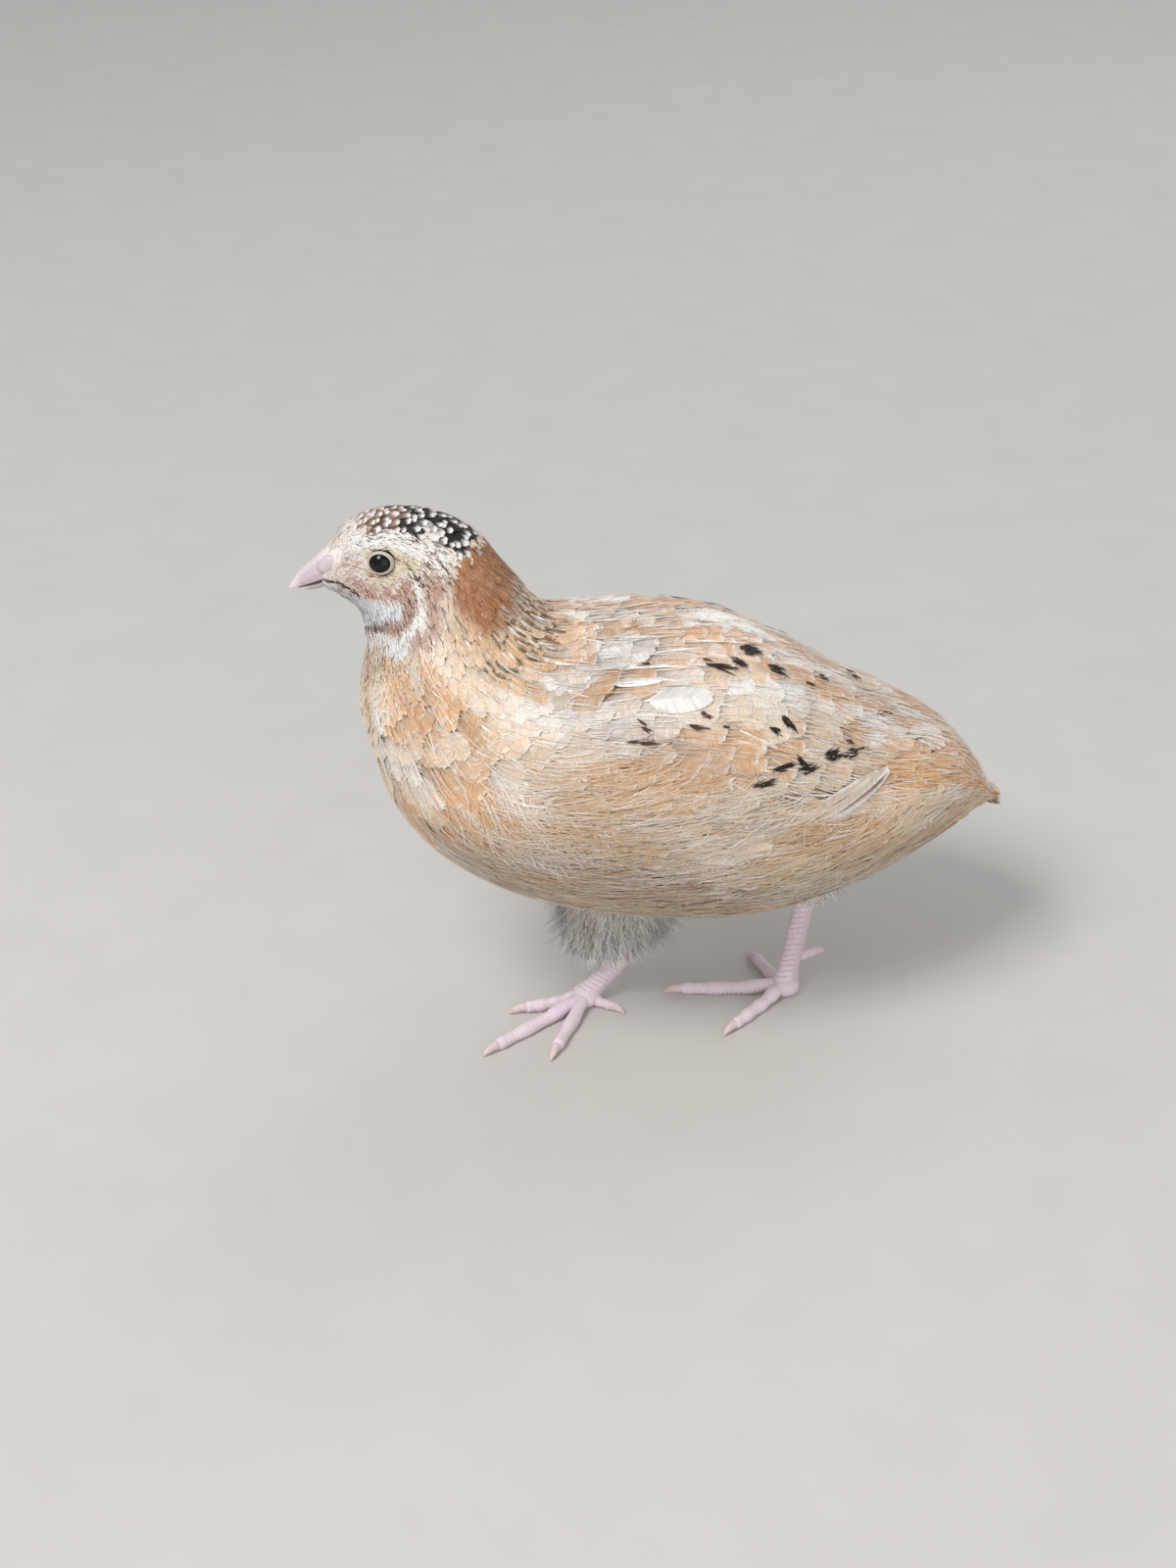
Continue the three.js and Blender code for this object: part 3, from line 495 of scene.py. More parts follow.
def cap_colour(colours, at, angle, along, across, draw):
    """A bead of the cap: pale tip over brown in front, over black behind, and some all dark."""
    white, black = colours.white, colours.black
    up = elevation(angle)
    bead = smoothstep(along, 0.6, 0.72) * smoothstep(np.abs(across), 0.8, 0.5)
    pinkish = mix(colours.face, colours.rufous, 0.75)
    pale_ground = mix(white, colours.face, 0.3)
    ground = mix(pale_ground, pinkish, smoothstep(at, 1.2, 1.7) * (0.3 + 0.7 * draw[..., 1]))
    browner = smoothstep(at, 1.25, 2.1) * (0.35 + 0.65 * smoothstep(draw[..., 2], 0.1, 0.6))
    ground = mix(ground, colours.brown, 0.95 * browner)
    rear = smoothstep(at + 0.3 * (draw[..., 1] - 0.5), 2.5, 2.8)
    ground = mix(ground, black, rear)
    far = (np.cos(np.radians(angle)) < 0) * smoothstep(up, 58, 64) * smoothstep(up, 86, 80)
    patch = np.maximum(ovals(at, up, BLACK_PATCHES), far * smoothstep(at, 2.4, 2.8))
    streak = ovals(at, up, WHITE_STREAKS)
    ground = mix(ground, pale_ground, 0.9 * streak)
    shown = smoothstep(draw[..., 0], 0.15 + 0.45 * patch, 0.2 + 0.45 * patch) * rear + (1 - rear)
    bead = bead * np.maximum(shown, smoothstep(up, 83, 86))
    pale = mix(white, mix(colours.face, white, 0.4), (1 - rear) * draw[..., 3] * 0.8)
    return mix(ground, pale, bead)


def nape_mask(at, up):
    """1 on the plain patch of the hind neck, inside its soft front, lower and rear edges."""
    low = np.interp(at, (4.0, 4.07, 4.16, 4.41, 4.78, 5.16, 5.27), (62, 53, 39, 34, 38, 43, 52))
    rear = 5.24 - 0.006 * (up - 54) + 0.06 * np.sin(0.5 * up) + 0.05 * np.sin(1.3 * up + 1)
    front = 4.03 + 0.009 * np.maximum(up - 60, 0)
    inside = smoothstep(at, front - 0.04, front + 0.1) * smoothstep(at, rear + 0.16, rear - 0.08)
    return inside * smoothstep(up, low - 8, low + 6)


def body_colour(colours, at, angle, along, across, draw):
    """The body's tints: cream and white grounds in drifts, warm hearts and pale fringes of feathers,
    and painted shade at each feather's root and over the lower body.
    """
    up = elevation(angle)
    cream, buff, white = colours.cream, colours.buff, colours.white
    orange, tan = colours.orange, mix(colours.buff, colours.orange, 0.4)
    edge, tip = smoothstep(np.abs(across), 0.62, 0.92), smoothstep(along, 0.9, 0.98)
    back = smoothstep(up, 38, 56) * smoothstep(at, 5.6, 6.6)
    wing = smoothstep(up, 8, 20) * smoothstep(at, 5.8, 6.8) * smoothstep(at, 12, 11.2)
    flank = smoothstep(at, 7.4, 8.2) * smoothstep(at, 13, 12.4) * smoothstep(up, 16, 6)
    shown = drift(at, angle, 9, 3) + 0.5 * (draw[..., 0] - 0.5)
    result = mix(cream, buff, 0.5 * smoothstep(shown, 0.35, 0.85))
    paler = 0.55 + 0.4 * smoothstep(draw[..., 1], 0.3, 0.8)
    result = mix(result, white, np.maximum(back, 0.5 * wing) * paler)
    spread = 1.15 * ovals(at, up, WARM_PATCHES) + 0.6 * smoothstep(drift(at, angle, 4, 5), 0.6, 0.85)
    warm = smoothstep(spread + 0.35 * (draw[..., 2] - 0.5), 0.15, 0.65)
    result = mix(result, white, 0.3 * smoothstep(at, 8.5, 7))
    result = mix(result, orange, 0.72 * warm * (1 - 0.6 * edge) * (1 - 0.6 * tip) * (1 - 0.45 * flank))
    result = mix(result, tan, 0.3 * (1 - edge) * (1 - warm) * smoothstep(draw[..., 3], 0.3, 0.8))
    pale = ovals(at, up, WHITE_PATCHES) + 0.55 * flank * smoothstep(drift(at, angle, 5, 12), 0.55, 0.9)
    pale = pale * (1 - 0.5 * (1 - edge) * draw[..., 0])
    result = mix(result, white, 0.95 * pale)
    belly = smoothstep(-up, 38, 60) * smoothstep(at, 7.5, 9)
    result = mix(result, mix(cream, colours.down, 0.5), 0.5 * belly)
    bars = oval(at, up, (9.5, -27), (20, 4.5), 0.5)
    result = mix(result, white, 0.5 * bars)
    dusky = mix(orange, colours.brown, 0.3)
    result = mix(result, dusky, 0.95 * bars * (1 - edge) * (1 - tip) * (draw[..., 1] > 0.4))
    result = mix(result, colours.grey, 0.35 * oval(at, up, (8.05, 27), (12, 4), 0.7))
    front = smoothstep(at, 8.5, 7)
    fringe = np.maximum(0.75 * edge, 0.9 * tip) * (0.3 + 0.45 * np.maximum(np.maximum(back, wing), front))
    fringe = fringe * (1 - 0.6 * smoothstep(at, 10.2, 11.4))
    result = mix(result, white, fringe * (0.5 + 0.5 * draw[..., 2]))
    shaft = smoothstep(np.abs(across), 0.13, 0.05)
    result = mix(result, white, 0.6 * shaft * smoothstep(along, 0.3, 0.6))
    # Painted shade: each feather darkens towards its root, where the feather before lies over it, and the
    # lower body (low) is painted a little darker. The rest of the tone differs at random.
    root_shade_level = 0.72 + 0.12 * flank
    low = smoothstep(-up, -10, 25) * smoothstep(at, 6.5, 8)
    tone = (root_shade_level + (1 - root_shade_level) * smoothstep(along, 0.34, 0.74)) * (0.94 + 0.09 * draw[..., 3])
    tone = tone * (1 - 0.12 * low) * (0.9 + 0.2 * drift(at, angle, 6, 8))
    tone = tone * (1.06 - 0.16 * flank * draw[..., 0])
    return result * tone[..., None]


def collar_colour(colours, result, at, up, along, across, draw):
    """The neck: the plain patch, and behind and below it long pale shafts with a dark dash beside."""
    nape = nape_share(at, up, draw)
    dusky = mix(colours.rufous, colours.brown, 0.45)
    rufous = mix(colours.rufous, mix(colours.orange, colours.face, 0.4), 0.6 * draw[..., 0])
    streaked = smoothstep(draw[..., 1], 0.6, 0.9) * smoothstep(np.abs(across), 0.3, 0.8)
    rufous = mix(rufous, dusky, 0.6 * streaked)
    result = mix(result, rufous, nape)
    near = np.interp(at, (4.3, 4.7, 5.3, 6.0, 6.4), (24, 20, 24, 34, 60))
    ring = smoothstep(at, 4.3, 4.7) * smoothstep(at, 6.35, 6.05) * smoothstep(up, near - 6, near + 6)
    ring = ring * (1 - nape)
    warm = mix(colours.buff, colours.orange, 0.8 * draw[..., 1])
    result = mix(result, warm, 0.6 * ring * (1 - 0.6 * smoothstep(np.abs(across), 0.5, 0.9)))
    dash = smoothstep(np.abs(across), 0.22, 0.32) * smoothstep(np.abs(across), 0.9, 0.7)
    dash = dash * smoothstep(along, 0.6, 0.68) * smoothstep(along, 0.97, 0.9)
    often = 0.15 + smoothstep(up, 36, 66) * 0.6
    result = mix(result, colours.black, 0.85 * ring * dash * (draw[..., 0] < often))
    shaft = smoothstep(np.abs(across), 0.18, 0.08)
    return mix(result, colours.white, 0.95 * ring * shaft * smoothstep(along, 0.35, 0.5))


def nape_share(at, up, draw):
    """How far a feather takes the plain patch's colour: its edge shifts from feather to feather."""
    return smoothstep(nape_mask(at, up) + 0.4 * (draw[..., 3] - 0.5), 0.15, 0.85)


def wisp_colour(colours, at, angle, along, across, draw):
    """A loose hair's colour: the coat's at its root, paler or a little deeper from hair to hair."""
    ground = plumage(colours, at, angle, 0.8, 0.4, draw)
    plain = 1 - 0.93 * smoothstep(nape_mask(at, elevation(angle)), 0, 0.5)
    warm = mix(ground, colours.buff, 0.5 * plain * smoothstep(draw[..., 2], 0.6, 1))
    return mix(warm, colours.white, 0.6 * plain * smoothstep(draw[..., 1], 0.3, 1))


def plumage(colours, at, angle, along, across, draw):
    """The colour at a place of the coat, from the body's place and the place on its feather."""
    up = elevation(angle)
    body = body_colour(colours, at, angle, along, across, draw)
    body = collar_colour(colours, body, at, up, along, across, draw)
    head = head_colour(colours, at, up, draw)
    rufous = mix(colours.rufous, colours.orange, 0.4 * draw[..., 0])
    head = mix(head, rufous, nape_share(at, up, draw))
    edge = 4.15 + 0.32 * smoothstep(up, -12, 8) * smoothstep(up, 30, 18) - 0.2 * smoothstep(up, 28, 42)
    edge = edge - 1.15 * smoothstep(-up, 18, 55)
    result = mix(head, body, smoothstep(at + 0.2 * (draw[..., 2] - 0.5), edge - 0.13, edge + 0.13))
    tone = 0.94 + 0.11 * draw[..., 3]
    return result * tone[..., None]


# Feathers

def round_outline(share):
    """Half the width along a feather: it swells from the root and rounds off over the last half."""
    tip = np.sqrt(np.clip(1 - (np.clip(share - 0.5, 0, 1) / 0.505) ** 2, 0, 1))
    return (0.25 + 0.75 * smoothstep(share, 0, 0.45)) * tip


def lance_outline(share):
    """Half the width of a narrow, pointed feather."""
    return np.sin(math.pi * np.clip(share, 0, 1) ** 0.8) ** 0.75


# Ways to draw one barb: the steps along it, its edges across it, and its triangles
BARBS = {
    "blade": ((0, 0, 0.6, 1), (-1.3, 1.3, 1.2, -0.3), ((0, 1, 2), (0, 2, 3))),
    "ribbon": ((0, 0, 0.7, 0.7, 1), (-1.4, 1.4, -1.4, 1.4, 0), ((0, 1, 3), (0, 3, 2), (2, 3, 4))),
    "hair": ((0, 0, 0.5, 0.5, 0.78, 0.78, 1), (-1.3, 1.3, -1.2, 1.2, -0.5, 0.5, 0),
             ((0, 1, 3), (0, 3, 2), (2, 3, 5), (2, 5, 4), (4, 5, 6))),
    "flight": ((0, 0, 0.05, 0.05, 0.25, 0.25, 0.3, 0.3, 0.86, 0.86, 1), (-1.4, 1.4) * 5 + (0,),
               ((0, 1, 3), (0, 3, 2), (2, 3, 5), (2, 5, 4), (4, 5, 7), (4, 7, 6), (6, 7, 9), (6, 9, 8),
                (8, 9, 10))),
}


def barbed_vane(barbs, sweep, ragged, outline, seed, shaft=0.045, kind="ribbon", start=0.05,
                jitter=0.25):
    """A feather in its own plane. Each barb leaves the shaft at its share of the length, and runs out
    as 1 - (1 - q)^1.6 and forward as q^1.5 to the outline, tapering. The shaft is a thin strip. The
    barbs begin at the start share, since the rest lies under the feathers before. Its web is the
    place across that colours are chosen by, 0 on the shaft alone."""
    draw = np.random.default_rng(seed)
    side = np.repeat([-1.0, 1.0], barbs)[:, None]
    root = np.tile((np.arange(barbs) + 0.5) / barbs, 2)[:, None]
    root = start + (0.97 - start) * (root + draw.uniform(-jitter, jitter, (2 * barbs, 1)) / barbs)
    clump = np.interp(root, np.linspace(0, 1, 7), draw.normal(0, 0.3 * ragged, 7)) * side
    end = root + sweep * (1.03 - root) * (1 + ragged * draw.normal(0, 0.5, root.shape)) + 0.15 * clump
    reach = side * outline(np.clip(end, 0, 1)) * (1 + ragged * draw.uniform(-0.5, 0.3, root.shape))
    steps, rim, shape = (np.array(part) for part in BARBS[kind])
    along = root + (end - root) * steps ** 1.5 + 0.5 * (0.97 - start) / barbs * rim
    across = reach * (1 - (1 - steps) ** 1.6)
    height = 0.02 * rim - 0.1 * across ** 2 + ragged * 0.05 * draw.normal(0, 1, root.shape) * steps ** 2
    vary = min(0.4 * ragged, 0.1)
    tone = np.repeat(draw.uniform(1 - vary, 1 + 0.7 * vary, root.shape), len(steps), axis=1)
    web = across if kind == "flight" else side * np.maximum(np.abs(across), 0.25)
    first = len(steps) * np.arange(2 * barbs)[:, None, None]
    faces = np.where(side[:, :, None] > 0, shape, shape[:, ::-1]) + first
    stem = np.array([[0, 3, 1], [0, 2, 3], [2, 4, 3]]) + along.size
    return {
        "along": np.append(along.ravel(), [0, 0, 0.5, 0.5, 0.97]),
        "across": np.append(across.ravel(), shaft * np.array([-1, 1, -0.7, 0.7, 0])),
        "web": np.append(web.ravel(), np.zeros(5)),
        "height": np.append(height.ravel(), np.full(5, 0.05)),
        "tone": np.append(tone.ravel(), np.full(5, 1.05)),
        "faces": np.concatenate([faces.reshape(-1, 3), stem]),
    }


def vane_set(count, seed, **shape):
    """Several feathers of one kind that differ in their draws."""
    return [barbed_vane(seed=seed + index, **shape) for index in range(count)]


# One piece of the coat has fewer triangles than this.
MOST_TRIANGLES = 200000


class Coat:
    """Gathers the feathers of one piece: points, triangles, map places, colours, barb places and soft
    normals."""

    def __init__(self):
        self.parts = {"points": [], "faces": [], "uvs": [], "colours": [], "vanes": [], "normals": []}
        self.count = 0

    def add(self, points, faces, uvs, colours, vanes=None, normals=None):
        """Takes arrays of many like feathers: each feather's points, and one feather's triangles."""
        feathers, size = points.shape[:2]
        offset = self.count + size * np.arange(feathers)
        self.parts["faces"].append((faces[None] + offset[:, None, None]).reshape(-1, 3))
        self.parts["points"].append(points.reshape(-1, 3))
        self.parts["uvs"].append(uvs.reshape(-1, 2))
        self.parts["colours"].append(colours.reshape(-1, 3))
        self.parts["vanes"].append((points if vanes is None else vanes).reshape(-1, 3))
        self.parts["normals"].append((0 * points if normals is None else normals).reshape(-1, 3))
        self.count += feathers * size

    def build(self, name, slot, material, *nodes):
        whole = {key: np.concatenate(value) for key, value in self.parts.items()}
        if len(whole["faces"]) >= MOST_TRIANGLES:
            raise RuntimeError(f"{name} has {len(whole['faces'])} triangles")
        piece = make_mesh(name, to_frame(whole["points"]), whole["faces"], whole["colours"],
                          whole["uvs"], whole["vanes"], whole["normals"])
        return place(piece, slot, material, *nodes)


def scales(at, angle):
    """Millimetres of surface in one station and in one degree, from small steps each way."""
    along = section_point(STATIONS, at + 0.05, angle) - section_point(STATIONS, at - 0.05, angle)
    around = section_point(STATIONS, at, angle + 1) - section_point(STATIONS, at, angle - 1)
    per_station = np.linalg.norm(along, axis=-1) / 0.1
    per_degree = np.linalg.norm(around, axis=-1) / 2
    return np.maximum(per_station, 3), np.maximum(per_degree, 0.03)


def map_place(at, angle):
    """The coat's map is the body unrolled: stations across, degrees round it up."""
    return np.stack([0.02 + 0.86 * at / LAST, 0.02 + 0.96 * np.mod(angle, 360) / 360], axis=-1)


def tuft_map(at, angle, template):
    """A small patch round the feather's root on the unrolled body."""
    patch = np.stack([template["along"] - 0.5, template["across"] / 2], axis=-1) * 0.003
    return map_place(at, angle)[:, None] + patch


def lay(coat, vanes, roots, colours, draw, painter=plumage):
    """Lays feathers over the body. A feather's own along and across are turned by its lean, divided
    by the surface's millimetres in a station and in a degree, and added to its root. Its lift runs
    from the root's to the tip's as 1 - (1 - s)^2.4, and bends up by its curl times s^3. One place
    under each feather decides its ground colour, so that feathers show as scallops."""
    for index, template in enumerate(vanes):
        pick = roots["kind"] == index
        if not pick.any():
            continue
        root = {key: value[pick][:, None] for key, value in roots.items()}
        along = template["along"] * root["length"]
        across = template["across"] * root["width"] / 2
        towards_back = np.where(np.cos(np.radians(root["angle"])) >= 0, 1.0, -1.0)
        bend = np.radians(towards_back * (root["lean"] + root["bend"] * template["along"]))
        run = along * np.cos(bend) - across * np.sin(bend)
        rise = along * np.sin(bend) + across * np.cos(bend)
        per_station, per_degree = scales(root["at"], root["angle"])
        at = root["at"] + run / per_station
        angle = root["angle"] + rise / per_degree
        share = np.clip(template["along"], 0, 1)
        lift = root["low"] + (root["high"] - root["low"]) * (1 - (1 - share) ** 2.4)
        lift = lift + template["height"] * root["width"] / 2 + root["curl"] * share ** 3
        points = body_point(at, angle, lift)
        outward = body_point(at, angle, lift + 1) - points
        chance = draw.random((len(along), 1, 4))
        spot_at, spot_angle = feather_middle(root, per_station, per_degree, towards_back)
        paint = painter(colours, spot_at, spot_angle, share[None], template["web"][None], chance)
        paint = np.clip(paint * template["tone"][None, :, None], 0, 1)
        barb = along - 0.7 * np.abs(across)
        places = np.stack(np.broadcast_arrays(barb, across, 40 * chance[..., 0]), axis=-1)
        uvs = tuft_map(root["at"][:, 0], root["angle"][:, 0], template)
        coat.add(points, template["faces"], uvs, paint, places, outward)


def laid(*feathers):
    """A coat of one kind of feather."""
    coat = Coat()
    lay(coat, *feathers)
    return coat


def feather_middle(root, per_station, per_degree, towards_back):
    """The place under the part of a feather that shows, which decides its colours."""
    turned = np.radians(towards_back * (root["lean"] + 0.5 * root["bend"]))
    run = 0.7 * root["length"]
    at = root["at"] + run * np.cos(turned) / per_station
    return at, np.mod(root["angle"] + run * np.sin(turned) / per_degree, 360)


def scatter(start, end, length_of, width_of, draw, keep, pace, pack, sweep=(0, 360), jitter=1.0):
    """Roots in rows. Rows step along by a share of the feather's length where the surface is longest,
    and are thinned where it is shorter. Each row's roots step round by a share of its width, on a
    running sum of the ring's millimetres, with small shifts."""
    at_list, angle_list = [], []
    at, row = start, 0
    ring = np.linspace(*sweep, 361)
    while at < end:
        per_station, per_degree = scales(np.full(361, at), ring)
        up = elevation(ring)
        steps = per_degree * (sweep[1] - sweep[0]) / 360 / (pack * width_of(at, up))
        total = np.concatenate([[0], np.cumsum(steps[:-1])])
        places = np.arange(0.5 * (row % 2) + 0.3 * jitter * draw.random(), total[-1], 1.0)
        angle = np.interp(places + 0.25 * jitter * draw.uniform(-1, 1, len(places)), total, ring)
        longest = per_station.max()
        kept = draw.random(len(angle)) < np.interp(angle, ring, per_station) / longest
        step = pace * float(np.mean(length_of(at, up))) / longest
        shift = jitter * step * draw.uniform(-0.45, 0.45, len(angle))
        at_list.append((at + shift)[kept])
        angle_list.append(angle[kept])
        at += step
        row += 1
    at, angle = np.concatenate(at_list), np.concatenate(angle_list)
    kept = keep(at, angle)
    return at[kept], angle[kept]


def roots_from(at, angle, length, width, draw, kinds, low, high, *, stray, lean=0.0, bend=0.0,
               curl=0.0, vary=0.1):
    """One row of numbers for each feather, each a little different: its place, which template it
    takes, its size, how it leans and bends, and how high its root and its tip lie."""
    count = len(at)
    full = lambda value: np.broadcast_to(value, (count,)).astype(float)
    return {
        "at": at, "angle": angle, "kind": draw.integers(0, kinds, count),
        "length": full(length) * draw.uniform(1 - vary, 1 + vary, count),
        "width": full(width) * draw.uniform(1 - vary, 1 + vary, count),
        "lean": full(lean) + draw.normal(0, stray, count), "bend": full(bend) + draw.normal(0, 3, count),
        "low": full(low), "high": full(high) + draw.uniform(-0.2, 0.0, count),
        "curl": full(curl) + draw.normal(0, 0.03, count),
    }


def rooted(span, sizes, draw, keep, spacing, kinds, high, jitter=1.0, **shape):
    """Roots of feathers as deep as the skin, over a stretch of stations, from the functions of their
    lengths and widths, and the spacing along and around as shares of these."""
    at, angle = scatter(*span, *sizes, draw, keep, *spacing, jitter=jitter)
    up = elevation(angle)
    length, width = (size(at, up) for size in sizes)
    return roots_from(at, angle, length, width, draw, kinds, -coat_depth(at, up), high, **shape)


def side_sweep(low, high, side):
    """A stretch of degrees up from the side, as ring angles in rising order."""
    return (low, high) if side > 0 else (180 - high, 180 - low)


def one_place(at, up, side):
    """The station and ring angle of a single feather, as arrays."""
    return np.array([at]), np.array([side_angle(up, side)], float)


def off_nape(limit):
    """Keeps roots where the plain patch of the hind neck is fainter than the limit."""
    return lambda at, angle: nape_mask(at, elevation(angle)) < limit


# Lengths and widths of the feathers by station, in millimetres
FACE_LENGTH = ((0, 1.5), (0.8, 1.8), (2, 2.1), (3, 2.6), (3.9, 3.2), (4.5, 4.0))
FACE_WIDTH = ((0, 0.8), (0.8, 0.95), (2, 1.1), (3, 1.3), (3.9, 1.5), (4.5, 1.8))
BEAD_LENGTH = ((0.8, 3.0), (4, 3.7))
BEAD_WIDTH = ((0.8, 1.9), (4, 2.5))
NECK_LENGTH = ((3.9, 3.2), (4.6, 4.8), (5.3, 8.5), (6, 11))
NECK_WIDTH = ((3.9, 1.5), (4.6, 2.1), (5.3, 3.6), (6, 5.0))
BODY_LENGTH = ((4.5, 8.5), (5.3, 10.5), (6.5, 11.5), (8, 13), (10, 13), (12, 12), (14, 10), (15, 9))
BODY_WIDTH = ((4.5, 5.5), (5.3, 7.2), (6.5, 7.5), (8, 8.5), (10, 7.5), (12, 5.8), (14, 4.6), (15, 4))
FLANK_LENGTH = ((6, 12), (7.5, 18), (9, 22), (12, 18), (14, 13))
FLANK_WIDTH = ((6, 7), (9, 12), (12, 10), (14, 8))


def table(pairs):
    """A function that runs straight from pair to pair of a table of station and size."""
    stations, sizes = zip(*pairs)
    return lambda at, up: np.interp(at, stations, sizes) * np.ones(np.shape(up))


# For spacings that are given in millimetres
UNIT = table(((0, 1.0), (16, 1.0)))


def coat_depth(at, up):
    """How deep the skin lies under the feathers' tips, from the face to the body."""
    depth = np.interp(at, (0, 1, 3, 4.5, 6, 8, 13, 15, 16), (0.35, 0.55, 0.8, 1.3, 2.0, 2.4, 2.4, 1.8, 1.4))
    return depth * np.ones(np.shape(up))


def near_eye(at, angle, room):
    """Which places lie over an eyeball or within this much room of it."""
    points = body_point(at, angle)
    gaps = [np.linalg.norm(points - eye_centre(side), axis=-1) for side in SIDES.values()]
    return np.minimum(*gaps) < EYE_RADIUS + room


def in_cap(at, angle):
    """Which places the beads of the cap cover."""
    return (elevation(angle) > cap_edge(at)) & (at > 0.75) & (at < 4.08)


def in_wing(at, angle):
    """Which places the wing's own feathers cover."""
    up = elevation(angle)
    return (at > WING_SPAN[0]) & (at < WING_SPAN[1]) & (up > WING_RISE[0]) & (up < WING_RISE[1])


def on_flap(at, angle):
    """Where the soft flap over the nostril lies over the front of the face."""
    up = elevation(angle)
    return ((at - 0.1) / 0.75) ** 2 + ((up - 26) / 22) ** 2 < 1


# Finishes

def feed(tree, node, inputs):
    """Gives each named input of a node a value, or links it to the output given."""
    for label, value in inputs.items():
        if isinstance(value, bpy.types.NodeSocket):
            tree.links.new(value, node.inputs[label])
        else:
            node.inputs[label].default_value = value


def add_node(tree, kind, inputs=None, **settings):
    """A new shader node of a kind, with its settings and its inputs."""
    node = tree.nodes.new(f"ShaderNode{kind}")
    for label, value in settings.items():
        setattr(node, label, value)
    feed(tree, node, inputs or {})
    return node


def new_material(name):
    """A material, its node tree and its shader."""
    material = bpy.data.materials.new(name)
    material.use_nodes = True
    return material, material.node_tree, material.node_tree.nodes["Principled BSDF"]


def painted_material(name, roughness, amount=0.2, size=None, bump_depth=0.0001, sheen=0.0):
    """Reads the piece's own colour, with a fine grain that also ruffles the surface. On feathers the
    grain runs along the barbs, by their places, and elsewhere it is even, by Object coordinates, with
    size waves to a metre. The amount is how far it lightens and darkens the colour."""
    material, tree, shader = new_material(name)
    if size is None:
        where = add_node(tree, "Attribute", attribute_name="vane").outputs["Vector"]
        scale = (2.2, 0.25, 1.0)
    else:
        where = add_node(tree, "TexCoord").outputs["Object"]
        scale = (size, size, size)
    spread = add_node(tree, "VectorMath", {0: where, 1: scale}, operation="MULTIPLY")
    colour = add_node(tree, "Attribute", attribute_name="plumage")
    grain = add_node(tree, "Group", {"Amount": amount, "Place": spread.outputs["Vector"],
                                     "Colour": colour.outputs["Color"]}, node_tree=grain_group())
    bump = add_node(tree, "Bump", {"Strength": 0.5, "Distance": bump_depth,
                                   "Height": grain.outputs["Height"]})
    feed(tree, shader, {"Base Color": grain.outputs["Colour"], "Normal": bump.outputs["Normal"],
                        "Roughness": roughness, "Specular IOR Level": 0.35, "Sheen Weight": sheen,
                        "Sheen Roughness": 0.5})
    return material


def feather_material(name, roughness):
    return painted_material(name, roughness, sheen=0.1)


def grain_group():
    """Fine mottling shared by the finishes: noise that lightens and darkens a colour, and a height."""
    name = "Fine grain"
    if name in bpy.data.node_groups:
        return bpy.data.node_groups[name]
    group = bpy.data.node_groups.new(name, "ShaderNodeTree")
    for way, label, kind in (("INPUT", "Colour", "Color"), ("INPUT", "Place", "Vector"),
                             ("INPUT", "Amount", "Float"), ("OUTPUT", "Colour", "Color"),
                             ("OUTPUT", "Height", "Float")):
        group.interface.new_socket(label, in_out=way, socket_type=f"NodeSocket{kind}")
    inside, outside = group.nodes.new("NodeGroupInput").outputs, group.nodes.new("NodeGroupOutput")
    noise = add_node(group, "TexNoise", {"Scale": 1, "Detail": 2, "Vector": inside["Place"]})
    spread = add_node(group, "Math", {0: noise.outputs["Fac"], 1: 4, 2: -2}, operation="MULTIPLY_ADD")
    amount = add_node(group, "Math", {0: spread.outputs[0], 1: inside["Amount"], 2: 1},
                      operation="MULTIPLY_ADD")
    tone = add_node(group, "VectorMath", {0: inside["Colour"], "Scale": amount.outputs[0]},
                    operation="SCALE")
    feed(group, outside, {"Colour": tone.outputs["Vector"], "Height": noise.outputs["Fac"]})
    return group


# Settings

def colour_setting(name, description, default):
    return FloatVectorProperty(name=name, description=description, default=default, size=3,
                               min=0, max=1, subtype="COLOR")


class QuailColours(PropertyGroup):
    cream: colour_setting("Cream", "Ground colour of the coat", (0.8, 0.63, 0.44))
    buff: colour_setting("Buff", "Soft tan of the flanks and breast", (0.73, 0.5, 0.29))
    orange: colour_setting("Orange buff", "Warm hearts of the feathers", (0.68, 0.36, 0.14))
    white: colour_setting("White", "Shafts, tips and the eyebrow", (0.92, 0.89, 0.86))
    rufous: colour_setting("Rufous", "The plain patch of the hind neck", (0.38, 0.14, 0.045))
    brown: colour_setting("Brown", "Fine dashes of the head", (0.1, 0.045, 0.03))
    black: colour_setting("Black", "The cap and the marks of the back", (0.02, 0.012, 0.01))
    grey: colour_setting("Grey", "Smudges of the wing and the ear", (0.46, 0.41, 0.42))
    face: colour_setting("Face", "Pinkish ground of the face", (0.74, 0.56, 0.5))
    chin: colour_setting("Chin", "Bluish white of the throat", (0.8, 0.82, 0.85))
    yellow: colour_setting("Eye feathers", "Yellowish feathers round the eye", (0.66, 0.58, 0.24))
    down: colour_setting("Down", "Fluff of the thighs and vent", (0.72, 0.66, 0.6))
    bill: colour_setting("Bill", "Flesh pink of the bill", (0.61, 0.52, 0.59))
    bill_tip: colour_setting("Bill tip", "Cream of the bill's tip and ridge", (0.82, 0.72, 0.7))
    leg: colour_setting("Legs", "Pinkish white skin of the legs", (0.9, 0.77, 0.85))
    # The grooves' colour is painted shade in the legs' grooves and round the bill's flaps, and tints the
    # upper bill's lower sides
    groove: colour_setting("Grooves", "Darker pink between the plates", (0.4, 0.22, 0.23))
    claw: colour_setting("Claws", "Pale horn", (0.76, 0.6, 0.57))


